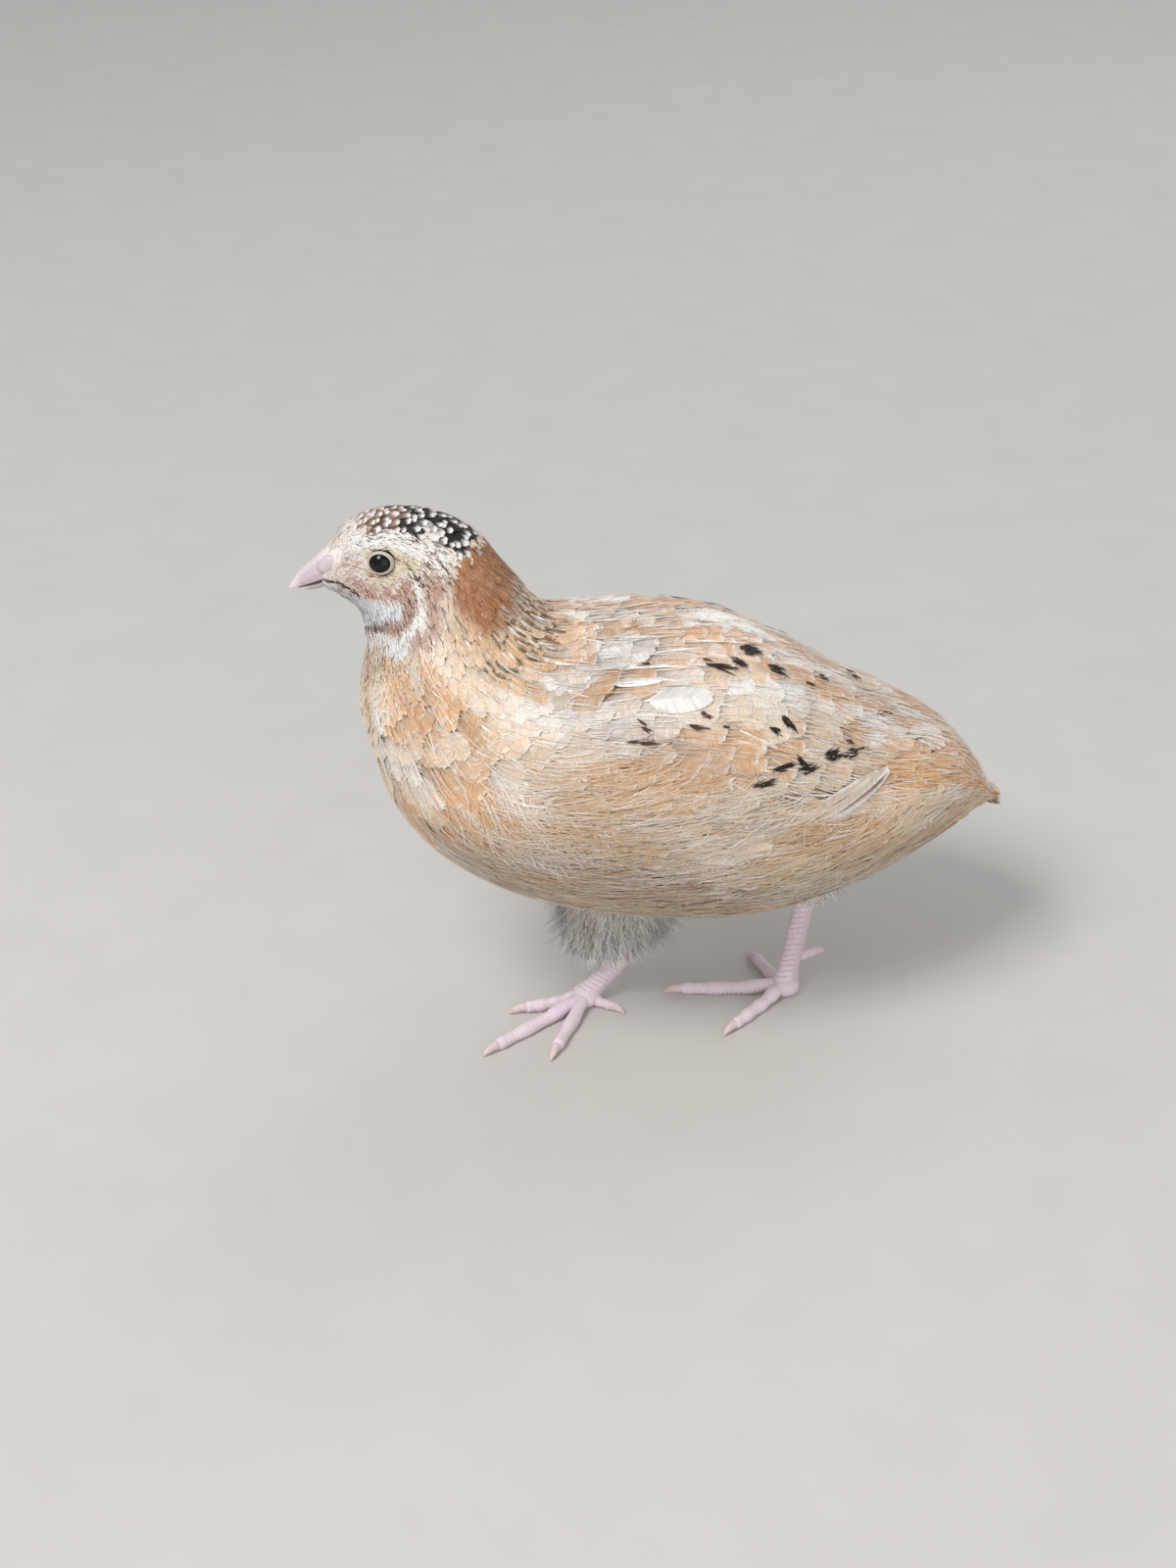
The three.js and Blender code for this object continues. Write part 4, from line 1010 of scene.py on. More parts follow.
class QuailFeathers(PropertyGroup):
    seed: IntProperty(name="Seed", description="Seed of every random draw", default=5, min=0)
    pace: FloatProperty(name="Row spacing", description="Step between rows, in feather lengths",
                        default=0.4, min=0.15, max=0.6)
    pack: FloatProperty(name="Packing", description="Step round a row, in feather widths",
                        default=0.48, min=0.3, max=1)
    stray: FloatProperty(name="Stray", description="How far feathers turn off the lie, in degrees",
                         default=6, min=0, max=20)


class QuailStage(PropertyGroup):
    floor_size: FloatProperty(name="Floor", description="Width of the floor", default=8,
                              unit="LENGTH", subtype="DISTANCE")
    floor_colour: colour_setting("Floor", "Pale floor", (0.66, 0.645, 0.62))
    key_power: FloatProperty(name="Key light", description="Power of the main soft light, in watts",
                             default=17.2, min=0)
    fill_power: FloatProperty(name="Fill light", description="Power of the fill lights, in watts",
                              default=4.5, min=0)
    sky: FloatProperty(name="Sky", description="Strength of the pale surroundings", default=0.44, min=0)
    lens: FloatProperty(name="Lens", description="Focal length", default=54, unit="CAMERA")
    azimuth: FloatProperty(name="Azimuth", description="Camera's turn round the bird",
                           default=math.radians(75), subtype="ANGLE")
    height: FloatProperty(name="Elevation", description="Camera's angle above the floor",
                          default=math.radians(30), subtype="ANGLE")
    distance: FloatProperty(name="Distance", description="From the camera to the point it looks at",
                            default=0.571, unit="LENGTH", subtype="DISTANCE")


class QuailSettings(PropertyGroup):
    colours: PointerProperty(type=QuailColours)
    feathers: PointerProperty(type=QuailFeathers)
    stage: PointerProperty(type=QuailStage)


def random(settings, step):
    """A generator of random numbers for one piece, by the seed and the piece's own step. In a pair the
    left piece takes the step after the pair's, and the right piece the one before."""
    return np.random.default_rng(settings.feathers.seed * 100 + step)


def palette(settings):
    """The colour settings as arrays, by name."""
    return SimpleNamespace(**{name: np.array(getattr(settings.colours, name)[:3])
                              for name in QuailColours.__annotations__})


# Pieces

# How far the skin of the thighs lies inside the line of their fluff, in millimetres
FLUFF_DEPTH = 1.2


def thigh_rings(name, count):
    """The thigh's skin: ovals carried down a curve through its stations, under the fluff's depth."""
    stations = np.array(LEGS[name]["thigh"], float)
    row = catmull(stations, np.linspace(0, len(stations) - 1.8, count))
    across = np.broadcast_to([1.0, 0.0, 0.0], (count, 3))
    return swept(row[:, :3], row[:, 3] - FLUFF_DEPTH, row[:, 4] - FLUFF_DEPTH, across, count)


class QUAIL_OT_skin(Operator):
    """The skin under the coat: the body's surface sunk by the coat's depth, and the two thighs"""
    bl_idname = "quail.skin"
    bl_label = "Skin"

    def execute(self, context):
        colours = palette(context.scene.quail)
        at, angle = np.meshgrid(np.linspace(0, 15.2, 260), np.arange(0, 360, 2.5), indexing="ij")
        body = body_point(at, angle, -coat_depth(at, elevation(angle)))
        paint = plumage(colours, at, angle, 0.6, 0.4, np.full((*at.shape, 4), 0.5))
        parts = [(*capped_loft(body), capped(paint), capped(map_place(at, angle)))]
        for step, name in enumerate(SIDES):
            points, faces = capped_loft(thigh_rings(name, 40))
            share = np.arange(len(points)) / len(points)
            corner = np.stack([0.9 + 0.04 * step + 0.03 * np.mod(share * 40, 1), share], axis=-1)
            parts.append((points, faces, np.broadcast_to(colours.down, points.shape), corner))
        points, faces, paint, uvs = joined(parts)
        piece = make_mesh("skin", to_frame(points), faces, np.clip(paint, 0, 1), uvs, points)
        nodes = ["head", "neck", "torso", "tail"]
        nodes += [f"{part}_{side}" for part in ("wing", "thigh") for side in SIDES]
        place(piece, "down", feather_material("Skin under the coat", 0.8), *nodes)
        return {"FINISHED"}


class QUAIL_OT_head_feathers(Operator):
    """The small feathers of the face and throat, and the beaded rows of the cap"""
    bl_idname = "quail.head_feathers"
    bl_label = "Head feathers"

    def execute(self, context):
        settings = context.scene.quail
        colours = palette(settings)
        draw = random(settings, 1)
        vanes = vane_set(8, 20, barbs=3, sweep=0.4, ragged=0.35, outline=lance_outline, shaft=0.09,
                         kind="blade")
        length_of = table(FACE_LENGTH)

        def outside(at, angle):
            tip = at + length_of(at, 0) / 9
            hidden = near_eye(at, angle, 0.25) | near_eye(tip, angle, 0.12) | on_flap(at, angle)
            return ~(hidden | in_cap(at, angle))

        roots = rooted((0.06, 4.5), (length_of, table(FACE_WIDTH)), draw, outside, (0.3, 0.48), 8, -0.08,
                       stray=8)
        material = feather_material("Head feathers", 0.6)
        laid(vanes, roots, colours, draw).build("face_feathers", "head_feathers", material)
        beads = vane_set(5, 30, barbs=8, sweep=0.3, ragged=0.12, outline=round_outline, shaft=0.1)
        roots = rooted((0.8, 4.1), (table(BEAD_LENGTH), table(BEAD_WIDTH)), draw, in_cap, (0.48, 0.76), 5,
                       0.0, jitter=0.8, stray=7, curl=0.05, vary=0.2)
        laid(beads, roots, colours, draw, cap_colour).build("cap_feathers", "head_feathers", material)
        return {"FINISHED"}


# Fine strokes of the head: the line that they follow, how far they stray in millimetres, how many lie
# on each side, length, width and colour
STROKES = (
    (EYEBROW, 1.7, 55, 1.8, 0.15, "brown"),
    (((1.5, 48), (2.6, 49), (3.8, 54)), 1.2, 50, 1.7, 0.15, "brown"),
    (YELLOW_LINE, 1.2, 40, 1.6, 0.14, "brown"),
    (((3.25, 20), (3.5, 23), (3.65, 27)), 1.3, 60, 1.4, 0.17, "brown"),
    (CHEEK_STREAK, 1.0, 50, 1.8, 0.15, "rufous"),
    (SECOND_BAND, 1.6, 60, 2.0, 0.15, "brown"),
    (FIRST_BAND[:5], 1.2, 50, 1.8, 0.15, "brown"),
    (FIRST_BAND[5:], 0.7, 60, 1.6, 0.2, "brown"),
    (GAPE, 0.22, 130, 1.6, 0.2, "brown"),
    (((0.5, -42), (1.5, -48), (2.4, -45), (3.2, -24)), 2.6, 110, 2.2, 0.14, "grey"),
    (((1.0, 8), (1.7, 4), (2.3, 2)), 1.4, 40, 1.5, 0.13, "rufous"),
    (((3.3, 38), (3.85, 42), (4.3, 33)), 1.2, 40, 2.4, 0.16, "brown"),
    (WHITE_BAND, 0.9, 120, 2.2, 0.22, "white"),
)
# Millimetres in a degree by which the strokes stray round the head
STROKE_DEGREE_MM = 0.3


def plain_paint(name):
    """A painter that gives a whole stroke one of the named colours."""
    return lambda colours, at, angle, along, across, draw: (
        getattr(colours, name) * (0.8 + 0.4 * draw[..., :1]))


def stroke(along, across, faces):
    """The template of a plain stroke: pairs of points along it, and one at its tip."""
    blank = np.zeros(len(along))
    return {"along": np.array(along, float), "across": np.array(across, float), "web": blank,
            "height": blank, "tone": blank + 1, "faces": np.array(faces)}


NEEDLE = stroke((0, 0, 0.5, 0.5, 1), (-0.8, 0.8, -1, 1, 0), ((0, 2, 3), (0, 3, 1), (2, 4, 3)))
HAIR = stroke((0, 0, 0.25, 0.25, 0.5, 0.5, 0.75, 0.75, 1), (-0.7, 0.7, -1, 1, -1, 1, -0.7, 0.7, 0),
              ((0, 2, 3), (0, 3, 1), (2, 4, 5), (2, 5, 3), (4, 6, 7), (4, 7, 5), (6, 8, 7)))


class QUAIL_OT_strokes(Operator):
    """Fine dark hairs and dashes among the feathers of the face, and along the mouth's corner"""
    bl_idname = "quail.strokes"
    bl_label = "Face strokes"

    def execute(self, context):
        settings = context.scene.quail
        colours = palette(settings)
        draw = random(settings, 5)
        coat = Coat()
        for line, stray, count, length, width, name in STROKES:
            line = np.array(line, float)
            for side in SIDES.values():
                share = draw.uniform(0, len(line) - 1, count)
                at, up = (np.interp(share, np.arange(len(line)), column) for column in line.T)
                at = at + draw.normal(0, stray, count) / HEAD_STATION_MM
                up = up + draw.normal(0, stray, count) / STROKE_DEGREE_MM
                angle = side_angle(up, side)
                fine = ~near_eye(at, angle, 0.15) & ~near_eye(at + length / 9, angle, 0.12)
                at, angle = at[fine], angle[fine]
                roots = roots_from(at, angle, length, width, draw, 1, -0.25, 0.0, vary=0.3, stray=12)
                lay(coat, [NEEDLE], roots, colours, draw, plain_paint(name))
        coat.build("face_strokes", "head_feathers", feather_material("Face strokes", 0.6))
        return {"FINISHED"}


class QUAIL_OT_neck_feathers(Operator):
    """The narrow, pointed feathers of the hind neck and collar"""
    bl_idname = "quail.neck_feathers"
    bl_label = "Neck feathers"

    def execute(self, context):
        settings = context.scene.quail
        colours = palette(settings)
        draw = random(settings, 2)
        vanes = vane_set(10, 40, barbs=11, sweep=0.4, ragged=0.2, outline=round_outline, shaft=0.12,
                         start=0.3)
        keep = lambda at, angle: (elevation(angle) > 8) | (at < 4.7)
        roots = rooted((4.0, 6.1), (table(NECK_LENGTH), table(NECK_WIDTH)), draw, keep, (0.36, 0.52), 10,
                       -0.1, stray=6, curl=0.1)
        material = feather_material("Neck feathers", 0.6)
        laid(vanes, roots, colours, draw).build("neck_feathers", "head_feathers", material)
        return {"FINISHED"}


class QUAIL_OT_body_feathers(Operator):
    """The contour feathers of the breast, back, belly and rump"""
    bl_idname = "quail.body_feathers"
    bl_label = "Body feathers"

    def execute(self, context):
        settings = context.scene.quail
        colours = palette(settings)
        draw = random(settings, 3)
        feathers = settings.feathers
        vanes = vane_set(16, 60, barbs=14, sweep=0.42, ragged=0.2, outline=round_outline, start=0.3)
        keep = lambda at, angle: ~in_wing(at, angle) & ((elevation(angle) < 14) | (at > 5.5))
        roots = rooted((4.6, 14.7), (table(BODY_LENGTH), table(BODY_WIDTH)), draw, keep,
                       (feathers.pace, feathers.pack), 16, -0.25, stray=feathers.stray)
        at, up = roots["at"], elevation(roots["angle"])
        material = feather_material("Body feathers", 0.62)
        regions = {
            "breast_feathers": (at < 8.2) & (up < 20),
            "back_feathers": up >= 20,
            "belly_feathers": (at >= 8.2) & (up < 20),
        }
        for name, region in regions.items():
            part = {key: value[region] for key, value in roots.items()}
            laid(vanes, part, colours, draw).build(name, "body_feathers", material)
        return {"FINISHED"}


# The wing's rows, by station: lowest and highest angle, length, width and lean of its feathers
WING_ROWS = np.array([
    (5.95, 20, 64, 9, 6.5, 0),
    (6.95, 11, 67, 12, 8.5, 2),
    (8.0, 11, 67, 14, 9.5, 4),
    (9.0, 14, 66, 15, 9.5, 8),
    (10.0, 30, 65, 14, 8, 9),
])
# Station, angle, length, width and lean of each primary
PRIMARIES = ((10.36, 10.4, 25.5, 4.2, 45), (10.47, 7.4, 28.0, 5.4, 46))


def flight_colour(colours, at, angle, along, across, draw):
    """A primary: pale grey with a white rim, and a dark strip beside the shaft on one web."""
    web = np.where(np.cos(np.radians(angle)) > 0, -across, across)
    result = mix(mix(colours.cream, colours.grey, 0.45), colours.white,
                 0.85 * smoothstep(web, 0.3, 0.45))
    rim = smoothstep(np.abs(across), 0.75, 0.9) + smoothstep(along, 0.92, 0.97)
    result = mix(result, colours.white, 0.8 * rim)
    strip = smoothstep(web, 0.05, 0.14) * smoothstep(web, 0.46, 0.34)
    strip = strip * smoothstep(along, 0.3, 0.45) * smoothstep(along, 0.93, 0.84)
    result = mix(result, colours.brown, 0.9 * strip)
    shaft = smoothstep(np.abs(across), 0.08, 0.04)
    return mix(result, colours.white, 0.8 * shaft)


class QUAIL_OT_wing_feathers(Operator):
    """The coverts, secondaries, tertials and primaries of both folded wings"""
    bl_idname = "quail.wing_feathers"
    bl_label = "Wing feathers"

    def execute(self, context):
        settings = context.scene.quail
        colours = palette(settings)
        vanes = vane_set(9, 90, barbs=30, sweep=0.4, ragged=0.14, outline=round_outline, shaft=0.05,
                         start=0.2)
        flight = vane_set(2, 120, barbs=44, sweep=0.2, ragged=0.01, outline=round_outline, shaft=0.06,
                          jitter=0.0, kind="flight")
        material = feather_material("Wing feathers", 0.58)
        for name, side in SIDES.items():
            draw = random(settings, 10 + side)
            coat = Coat()
            for step, (at, angle, length, width, lean) in enumerate(PRIMARIES):
                roots = roots_from(*one_place(at, angle, side), length, width, draw, 2, -1.0,
                                   0.7 + 0.3 * step, lean=lean, vary=0.01, stray=0.5)
                lay(coat, flight, roots, colours, draw, flight_colour)
            for at in np.linspace(10.0, 5.95, 13):
                low, high, length, width, lean = (np.interp(at, WING_ROWS[:, 0], column)
                                                  for column in WING_ROWS.T[1:])
                arc = scales(np.array(at), np.array(float(side_angle((low + high) / 2, side))))[1]
                count = int(arc * (high - low) / (0.46 * width)) + 1
                up = np.linspace(low, high, count) + draw.uniform(-1.5, 1.5, count)
                places = at + draw.uniform(-0.15, 0.15, count)
                turn = lean * (1.6 - (up - 10) / 50)
                roots = roots_from(places, side_angle(up, side), length, width, draw, 9, -2.1, -0.1,
                                   lean=turn, stray=4)
                lay(coat, vanes, roots, colours, draw)
            coat.build(f"wing_feathers_{name}", "wing_feathers", material)
        return {"FINISHED"}


class QUAIL_OT_flank_feathers(Operator):
    """The long, soft, hairy feathers of the flanks and vent, which cover the wing's lower edge"""
    bl_idname = "quail.flank_feathers"
    bl_label = "Flank feathers"

    def execute(self, context):
        settings = context.scene.quail
        colours = palette(settings)
        vanes = vane_set(9, 150, barbs=28, sweep=0.7, ragged=0.5, outline=round_outline, shaft=0.03,
                         kind="hair", start=0.15)
        material = feather_material("Flank feathers", 0.66)
        length_of, width_of = table(FLANK_LENGTH), table(FLANK_WIDTH)

        def inside(at, angle):
            up = elevation(angle)
            top = np.interp(at, (6.3, 7.3, 8.5, 9.3, 10.3, 13.6), (0, 9, 9, 8, 6, 20))
            low = np.interp(at, (6.3, 7.3, 8.5, 9.6, 11), (-6, -14, -24, -50, -80))
            return (up < top) & (up > low)

        for name, side in SIDES.items():
            draw = random(settings, 20 + side)
            at, angle = scatter(6.4, 13.4, length_of, width_of, draw, inside, 0.28, 0.44,
                                side_sweep(-88, 26, side))
            up = elevation(angle)
            roots = roots_from(at, angle, length_of(at, up), width_of(at, up), draw, 9, -1.9, -0.1,
                               lean=5 + 0.12 * up, bend=14, stray=9, curl=0.3)
            coat = laid(vanes, roots, colours, draw)
            coat.build(f"flank_feathers_{name}", "body_feathers", material)
        return {"FINISHED"}


# Loose hairs over the coat: first and last station, lowest and highest angle, spacing along and
# around in millimetres, length, width, lean and bend
WISPS = (
    (6.7, 12.8, -62, 14, 1.7, 1.2, 14, 0.3, 6, 20),
    (7.6, 11.8, -34, 8, 3.4, 2.6, 18, 0.42, 10, 34),
    (4.2, 8.0, -70, 34, 2.6, 1.7, 7, 0.22, 0, 6),
    (4.05, 5.3, 32, 90, 1.0, 0.7, 3.0, 0.17, 0, 3),
    (5.8, 14.2, 16, 88, 3.2, 2.6, 8.5, 0.24, 2, 5),
    (6.5, 8.4, -34, -4, 2.0, 1.6, 10, 0.3, -16, -8),
    (11.2, 12.2, -26, -10, 2.0, 1.2, 15, 0.34, -30, 0),
    (8.0, 14.2, -88, -40, 2.2, 1.6, 11, 0.28, 0, 12),
    (12.0, 14.6, -50, 30, 1.8, 1.4, 9, 0.28, -8, 26),
    (9.6, 14.3, 16, 90, 2.8, 2.2, 8, 0.3, -6, 8),
)
# Hairs longer than this, in millimetres, keep off the plain nape, and shorter ones grow anywhere.
LONG_WISP = 4
ANYWHERE = 2.0


class QUAIL_OT_wisps(Operator):
    """The fine, loose, curving hairs of plumes that lie over the whole coat"""
    bl_idname = "quail.wisps"
    bl_label = "Wisps"

    def execute(self, context):
        settings = context.scene.quail
        colours = palette(settings)
        draw = random(settings, 60)
        coat = Coat()
        for start, end, low, high, pace, pack, length, width, lean, bend in WISPS:
            keep = off_nape(0.2 if length > LONG_WISP else ANYWHERE)
            for side in SIDES.values():
                at, angle = scatter(start, end, UNIT, UNIT, draw, keep, pace, pack,
                                    side_sweep(low, high, side))
                roots = roots_from(at, angle, length, width, draw, 1, -0.5, 0.2, lean=lean, bend=bend,
                                   curl=0.15, vary=0.4, stray=6)
                roots["bend"] = roots["bend"] + draw.normal(0, 0.3 * abs(bend) + 2, len(at))
                lay(coat, [HAIR], roots, colours, draw, wisp_colour)
        coat.build("wisps", "body_feathers", feather_material("Wisps", 0.6))
        return {"FINISHED"}


# White shafts that show over the coat: first and last station, lowest and highest angle, spacing
# along and around in millimetres, length, width
SHAFTS = (
    (4.3, 7.8, -62, 24, 7.5, 6.5, 6.5, 0.34),
    (4.6, 6.2, 22, 80, 4.4, 4.4, 4.2, 0.42),
    (5.9, 9.4, 38, 100, 9.0, 7.0, 13.0, 0.55),
    (9.4, 13.8, 22, 110, 9.0, 7.5, 7.5, 0.45),
    (6.6, 9.6, 12, 38, 10.0, 7.0, 9.0, 0.4),
)
# Dark marks of the back and wing: station, angle, half-length, half-width, lean, strength
DARK_MARKS = (
    (9.27, 71, 2.8, 1.7, 8, 1.0), (9.05, 64.3, 2.4, 1.0, -25, 0.95), (8.86, 59.8, 4.0, 0.8, -4, 0.95),
    (8.55, 62, 1.6, 0.4, -5, 0.5), (9.67, 66.3, 2.6, 1.3, -14, 1.0), (10.42, 73, 1.4, 1.0, 0, 0.9),
    (10.15, 66, 1.5, 0.6, -8, 0.6), (8.72, 40.3, 1.6, 0.7, -25, 0.6), (8.71, 35.3, 2.2, 0.5, -8, 0.5),
    (8.22, 25.7, 2.4, 0.7, 5, 0.6), (7.98, 25.1, 1.8, 0.45, 5, 0.6), (7.92, 33.7, 1.5, 0.45, -35, 0.5),
    (8.08, 30.9, 1.8, 0.4, -20, 0.45), (9.05, 37.5, 1.3, 0.4, 0, 0.4), (9.9, 46.4, 2.3, 1.0, -40, 0.85),
    (9.69, 41.7, 1.5, 0.7, -30, 0.7), (10.02, 27.8, 2.8, 0.9, 28, 0.8), (10.35, 29.8, 2.6, 1.0, 32, 0.85),
    (10.2, 34, 2.0, 0.8, -50, 0.8), (10.62, 38.2, 2.4, 1.3, 35, 0.95), (10.9, 41.4, 2.4, 1.0, 38, 0.9),
    (9.9, 20.5, 3.0, 0.7, 30, 0.7), (11.2, 88, 1.4, 0.9, 0, 0.8), (10.8, 47, 1.6, 0.6, 10, 0.6),
)
# Feathers that are white all over: station, angle, length, width, lean
WHITE_FEATHERS = ((7.75, 42, 15, 7.6, 10), (7.1, 48.5, 13, 3.0, 6), (6.5, 55, 12, 2.4, 4))


class QUAIL_OT_markings(Operator):
    """The pale shafts, the dark marks and the few white feathers that lie over the coat"""
    bl_idname = "quail.markings"
    bl_label = "Shafts and marks"

    def execute(self, context):
        settings = context.scene.quail
        colours = palette(settings)
        draw = random(settings, 6)
        coat = Coat()
        for start, end, low, high, pace, pack, length, width in SHAFTS:
            for side in SIDES.values():
                at, angle = scatter(start, end, UNIT, UNIT, draw, off_nape(0.3), pace, pack,
                                    side_sweep(low, high, side))
                roots = roots_from(at, angle, length, width, draw, 1, -0.5, 0.0, vary=0.35, stray=7)
                roots["at"] = roots["at"] + 0.5 * draw.uniform(-1, 1, len(at)) * pace / 15
                lay(coat, [NEEDLE], roots, colours, draw, plain_paint("white"))
        for at, up, half_long, half_wide, lean, strength in DARK_MARKS:
            for side in SIDES.values():
                shown = at + (0.12 * draw.normal() if side < 0 else 0) - half_long / STATION_MM
                count = int((10 + 14 * half_wide) * strength)
                rise, run = draw.uniform(-1, 1, (2, count))
                run = run * np.sqrt(1 - rise ** 2) * half_long * 0.55
                turn = np.radians(lean)
                rise = rise * max(half_wide - 0.3, 0.15)
                shift = (run * np.cos(turn) - rise * np.sin(turn)) / STATION_MM
                lift = (run * np.sin(turn) + rise * np.cos(turn)) / DEGREE_MM
                roots = roots_from(shown + shift, side_angle(up + lift, side), 1.2 * half_long, 0.34, draw, 1,
                                   0.05, 0.38, lean=lean + 6, vary=0.4, stray=7)
                name = "black" if strength > 0.65 else "brown"
                lay(coat, [HAIR], roots, colours, draw, plain_paint(name))
        coat.build("shafts_and_marks", "body_feathers", feather_material("Shafts and marks", 0.55))
        coat = Coat()
        wide = vane_set(3, 230, barbs=70, sweep=0.34, ragged=0.015, outline=round_outline, shaft=0.04)
        for at, up, length, width, lean in WHITE_FEATHERS:
            for side in SIDES.values():
                roots = roots_from(*one_place(at, up, side), length, width, draw, 3, -0.4,
                                   0.1 * width - 0.2, lean=lean, vary=0.02, stray=1)
                lay(coat, wide, roots, colours, draw, plain_paint("white"))
        coat.build("white_feathers", "wing_feathers", feather_material("White feathers", 0.55))
        return {"FINISHED"}


# Where the tail's middle feathers grow from and end, and the half-width of each
TAIL_ROOT = np.array([0, 72.5, 56.5])
TAIL_TIP = np.array([0, 86.4, 49.8])
TAIL_HALF = 3.0


class QUAIL_OT_tail_feathers(Operator):
    """The short tail's fan of feathers, under the long coverts of the rump"""
    bl_idname = "quail.tail_feathers"
    bl_label = "Tail feathers"

    def execute(self, context):
        settings = context.scene.quail
        colours = palette(settings)
        draw = random(settings, 30)
        axis = TAIL_TIP - TAIL_ROOT
        length = np.linalg.norm(axis)
        axis = axis / length
        normal = np.cross([1.0, 0.0, 0.0], axis)
        coat = Coat()
        vanes = vane_set(5, 180, barbs=26, sweep=0.2, ragged=0.06, outline=round_outline, shaft=0.07)
        for rank in range(6):
            for side in SIDES.values():
                template = vanes[rank % len(vanes)]
                turn = math.radians(side * (2 + 2.4 * rank))
                reach = template["along"] * length * (1 - 0.012 * rank)
                spread = template["across"] * TAIL_HALF
                x = side * (0.5 + 0.35 * rank) + reach * math.sin(turn) + spread * math.cos(turn)
                y = reach * math.cos(turn) - spread * math.sin(turn)
                lift = -0.35 * rank - 0.12 * (side < 0) + template["height"] * TAIL_HALF
                points = TAIL_ROOT + y[:, None] * axis + lift[:, None] * normal
                points[:, 0] += x
                warm = mix(colours.white, colours.orange, 0.45 - 0.09 * rank)
                shade = smoothstep(np.abs(template["across"]), 0.6, 1)
                paint = mix(warm, colours.white, shade)
                fine = smoothstep(np.sin(9 * template["along"] * math.pi + rank), 0.85, 1)
                paint = mix(paint, colours.brown, 0.35 * fine)
                paint = np.clip(paint * template["tone"][:, None] * draw.uniform(0.95, 1.03), 0, 1)
                root = (np.array([14.4]), np.array([90.0 - side * 12 * rank]))
                barb = np.stack([y - 0.7 * np.abs(spread), spread, np.full(len(y), 7.0 * rank)], axis=-1)
                coat.add(points[None], template["faces"], tuft_map(*root, template), paint[None], barb)
        coat.build("tail_feathers", "tail_feathers", feather_material("Tail feathers", 0.58))
        return {"FINISHED"}


def strands(coat, roots, directions, normals, lengths, widths, curls, paint, uvs):
    """Fine strands of down: each runs from its root along its direction, bends by its curl times the
    square of the share along it, and tapers from its width to a point."""
    share = np.array([0, 0, 0.35, 0.35, 0.7, 0.7, 1.0])
    rim = np.array([-1, 1, -0.85, 0.85, -0.55, 0.55, 0])
    run = lengths[:, None, None] * share[None, :, None] * directions[:, None]
    bend = (lengths[:, None] * share ** 2)[..., None] * curls[:, None]
    side = np.cross(directions, normals)
    side /= np.linalg.norm(side, axis=-1, keepdims=True) + 1e-9
    out = (widths[:, None] / 2 * rim)[..., None] * side[:, None]
    points = roots[:, None] + run + bend + out
    faces = np.array([[0, 1, 3], [0, 3, 2], [2, 3, 5], [2, 5, 4], [4, 5, 6]])
    patch = np.stack([share - 0.5, rim / 2], axis=-1) * 0.003
    colours = paint[:, None] * (0.92 + 0.1 * share)[None, :, None]
    coat.add(points, faces, uvs[:, None] + patch, np.clip(colours, 0, 1))


# How many strands each thigh has, and the height above the floor where they end
FLUFF = {"left": (3000, 34), "right": (9000, 15.5)}


class QUAIL_OT_down(Operator):
    """The fluff of the thighs"""
    bl_idname = "quail.down"
    bl_label = "Down"

    def execute(self, context):
        settings = context.scene.quail
        colours = palette(settings)
        draw = random(settings, 40)
        coat = Coat()
        size = 60
        for name in SIDES:
            rings = thigh_rings(name, size)
            count, lowest = FLUFF[name]
            row = (draw.random(count) ** 0.8 * (size - 2)).astype(int)
            column = draw.integers(0, size, count)
            root = rings[row, column]
            outward = root - rings.mean(axis=1)[row]
            outward /= np.linalg.norm(outward, axis=1, keepdims=True)
            direction = outward * 0.42 + np.array([0, 0.12, -1]) + draw.normal(0, 0.26, (count, 3))
            direction /= np.linalg.norm(direction, axis=1, keepdims=True)
            length = draw.uniform(3.5, 8.5, count) * (1 - 0.25 * row / size)
            room = (root[:, 2] - lowest) / np.maximum(-direction[:, 2], 0.2)
            length = np.clip(length, 0.8, np.maximum(room, 0.8))
            curl = draw.normal(0, 0.2, (count, 3))
            grey = mix(0.45 * colours.down, colours.white, smoothstep(draw.random(count), 0, 0.65))
            uvs = np.stack([0.9 + 0.08 * draw.random(count), draw.random(count)], axis=-1)
            strands(coat, root, direction, outward, length, draw.uniform(0.12, 0.28, count), curl,
                    grey, uvs)
        coat.build("thigh_down", "down", feather_material("Down", 0.75))
        return {"FINISHED"}


def flap_shape(side):
    """The swollen flap over the nostril: an ellipsoid tilted along the bill, its lower rim folded in."""
    ball = globe(60, 40)[0][..., [0, 2, 1]]
    groove = np.exp(-((ball[..., 2] + 0.72) / 0.14) ** 2)
    ball = ball * (1 - 0.1 * groove + 0.03 * np.sin(5 * ball[..., 1]))[..., None] * FLAP_SIZE
    y = ball[..., 1] * math.cos(FLAP_TILT) - ball[..., 2] * math.sin(FLAP_TILT)
    z = ball[..., 1] * math.sin(FLAP_TILT) + ball[..., 2] * math.cos(FLAP_TILT)
    points = FLAP + np.stack([ball[..., 0] + 0.1 * y, y, z], axis=-1)
    points[..., 0] *= side
    return turn_head(points), groove


def flap_crease_shade(rings):
    """Painted shade: 1 in the crease round the flaps' lower and rear edges, and 0 further off."""
    nearest = np.full(rings.shape[:2], 9.0)
    for side in SIDES.values():
        flap = flap_shape(side)[0][::2, ::3]
        rim = flap[(flap[..., 2] < FLAP[2] - 0.4)]
        gaps = np.linalg.norm(rings[:, :, None] - rim[None, None], axis=-1).min(axis=-1)
        nearest = np.minimum(nearest, gaps)
    return smoothstep(nearest, 0.75, 0.25)


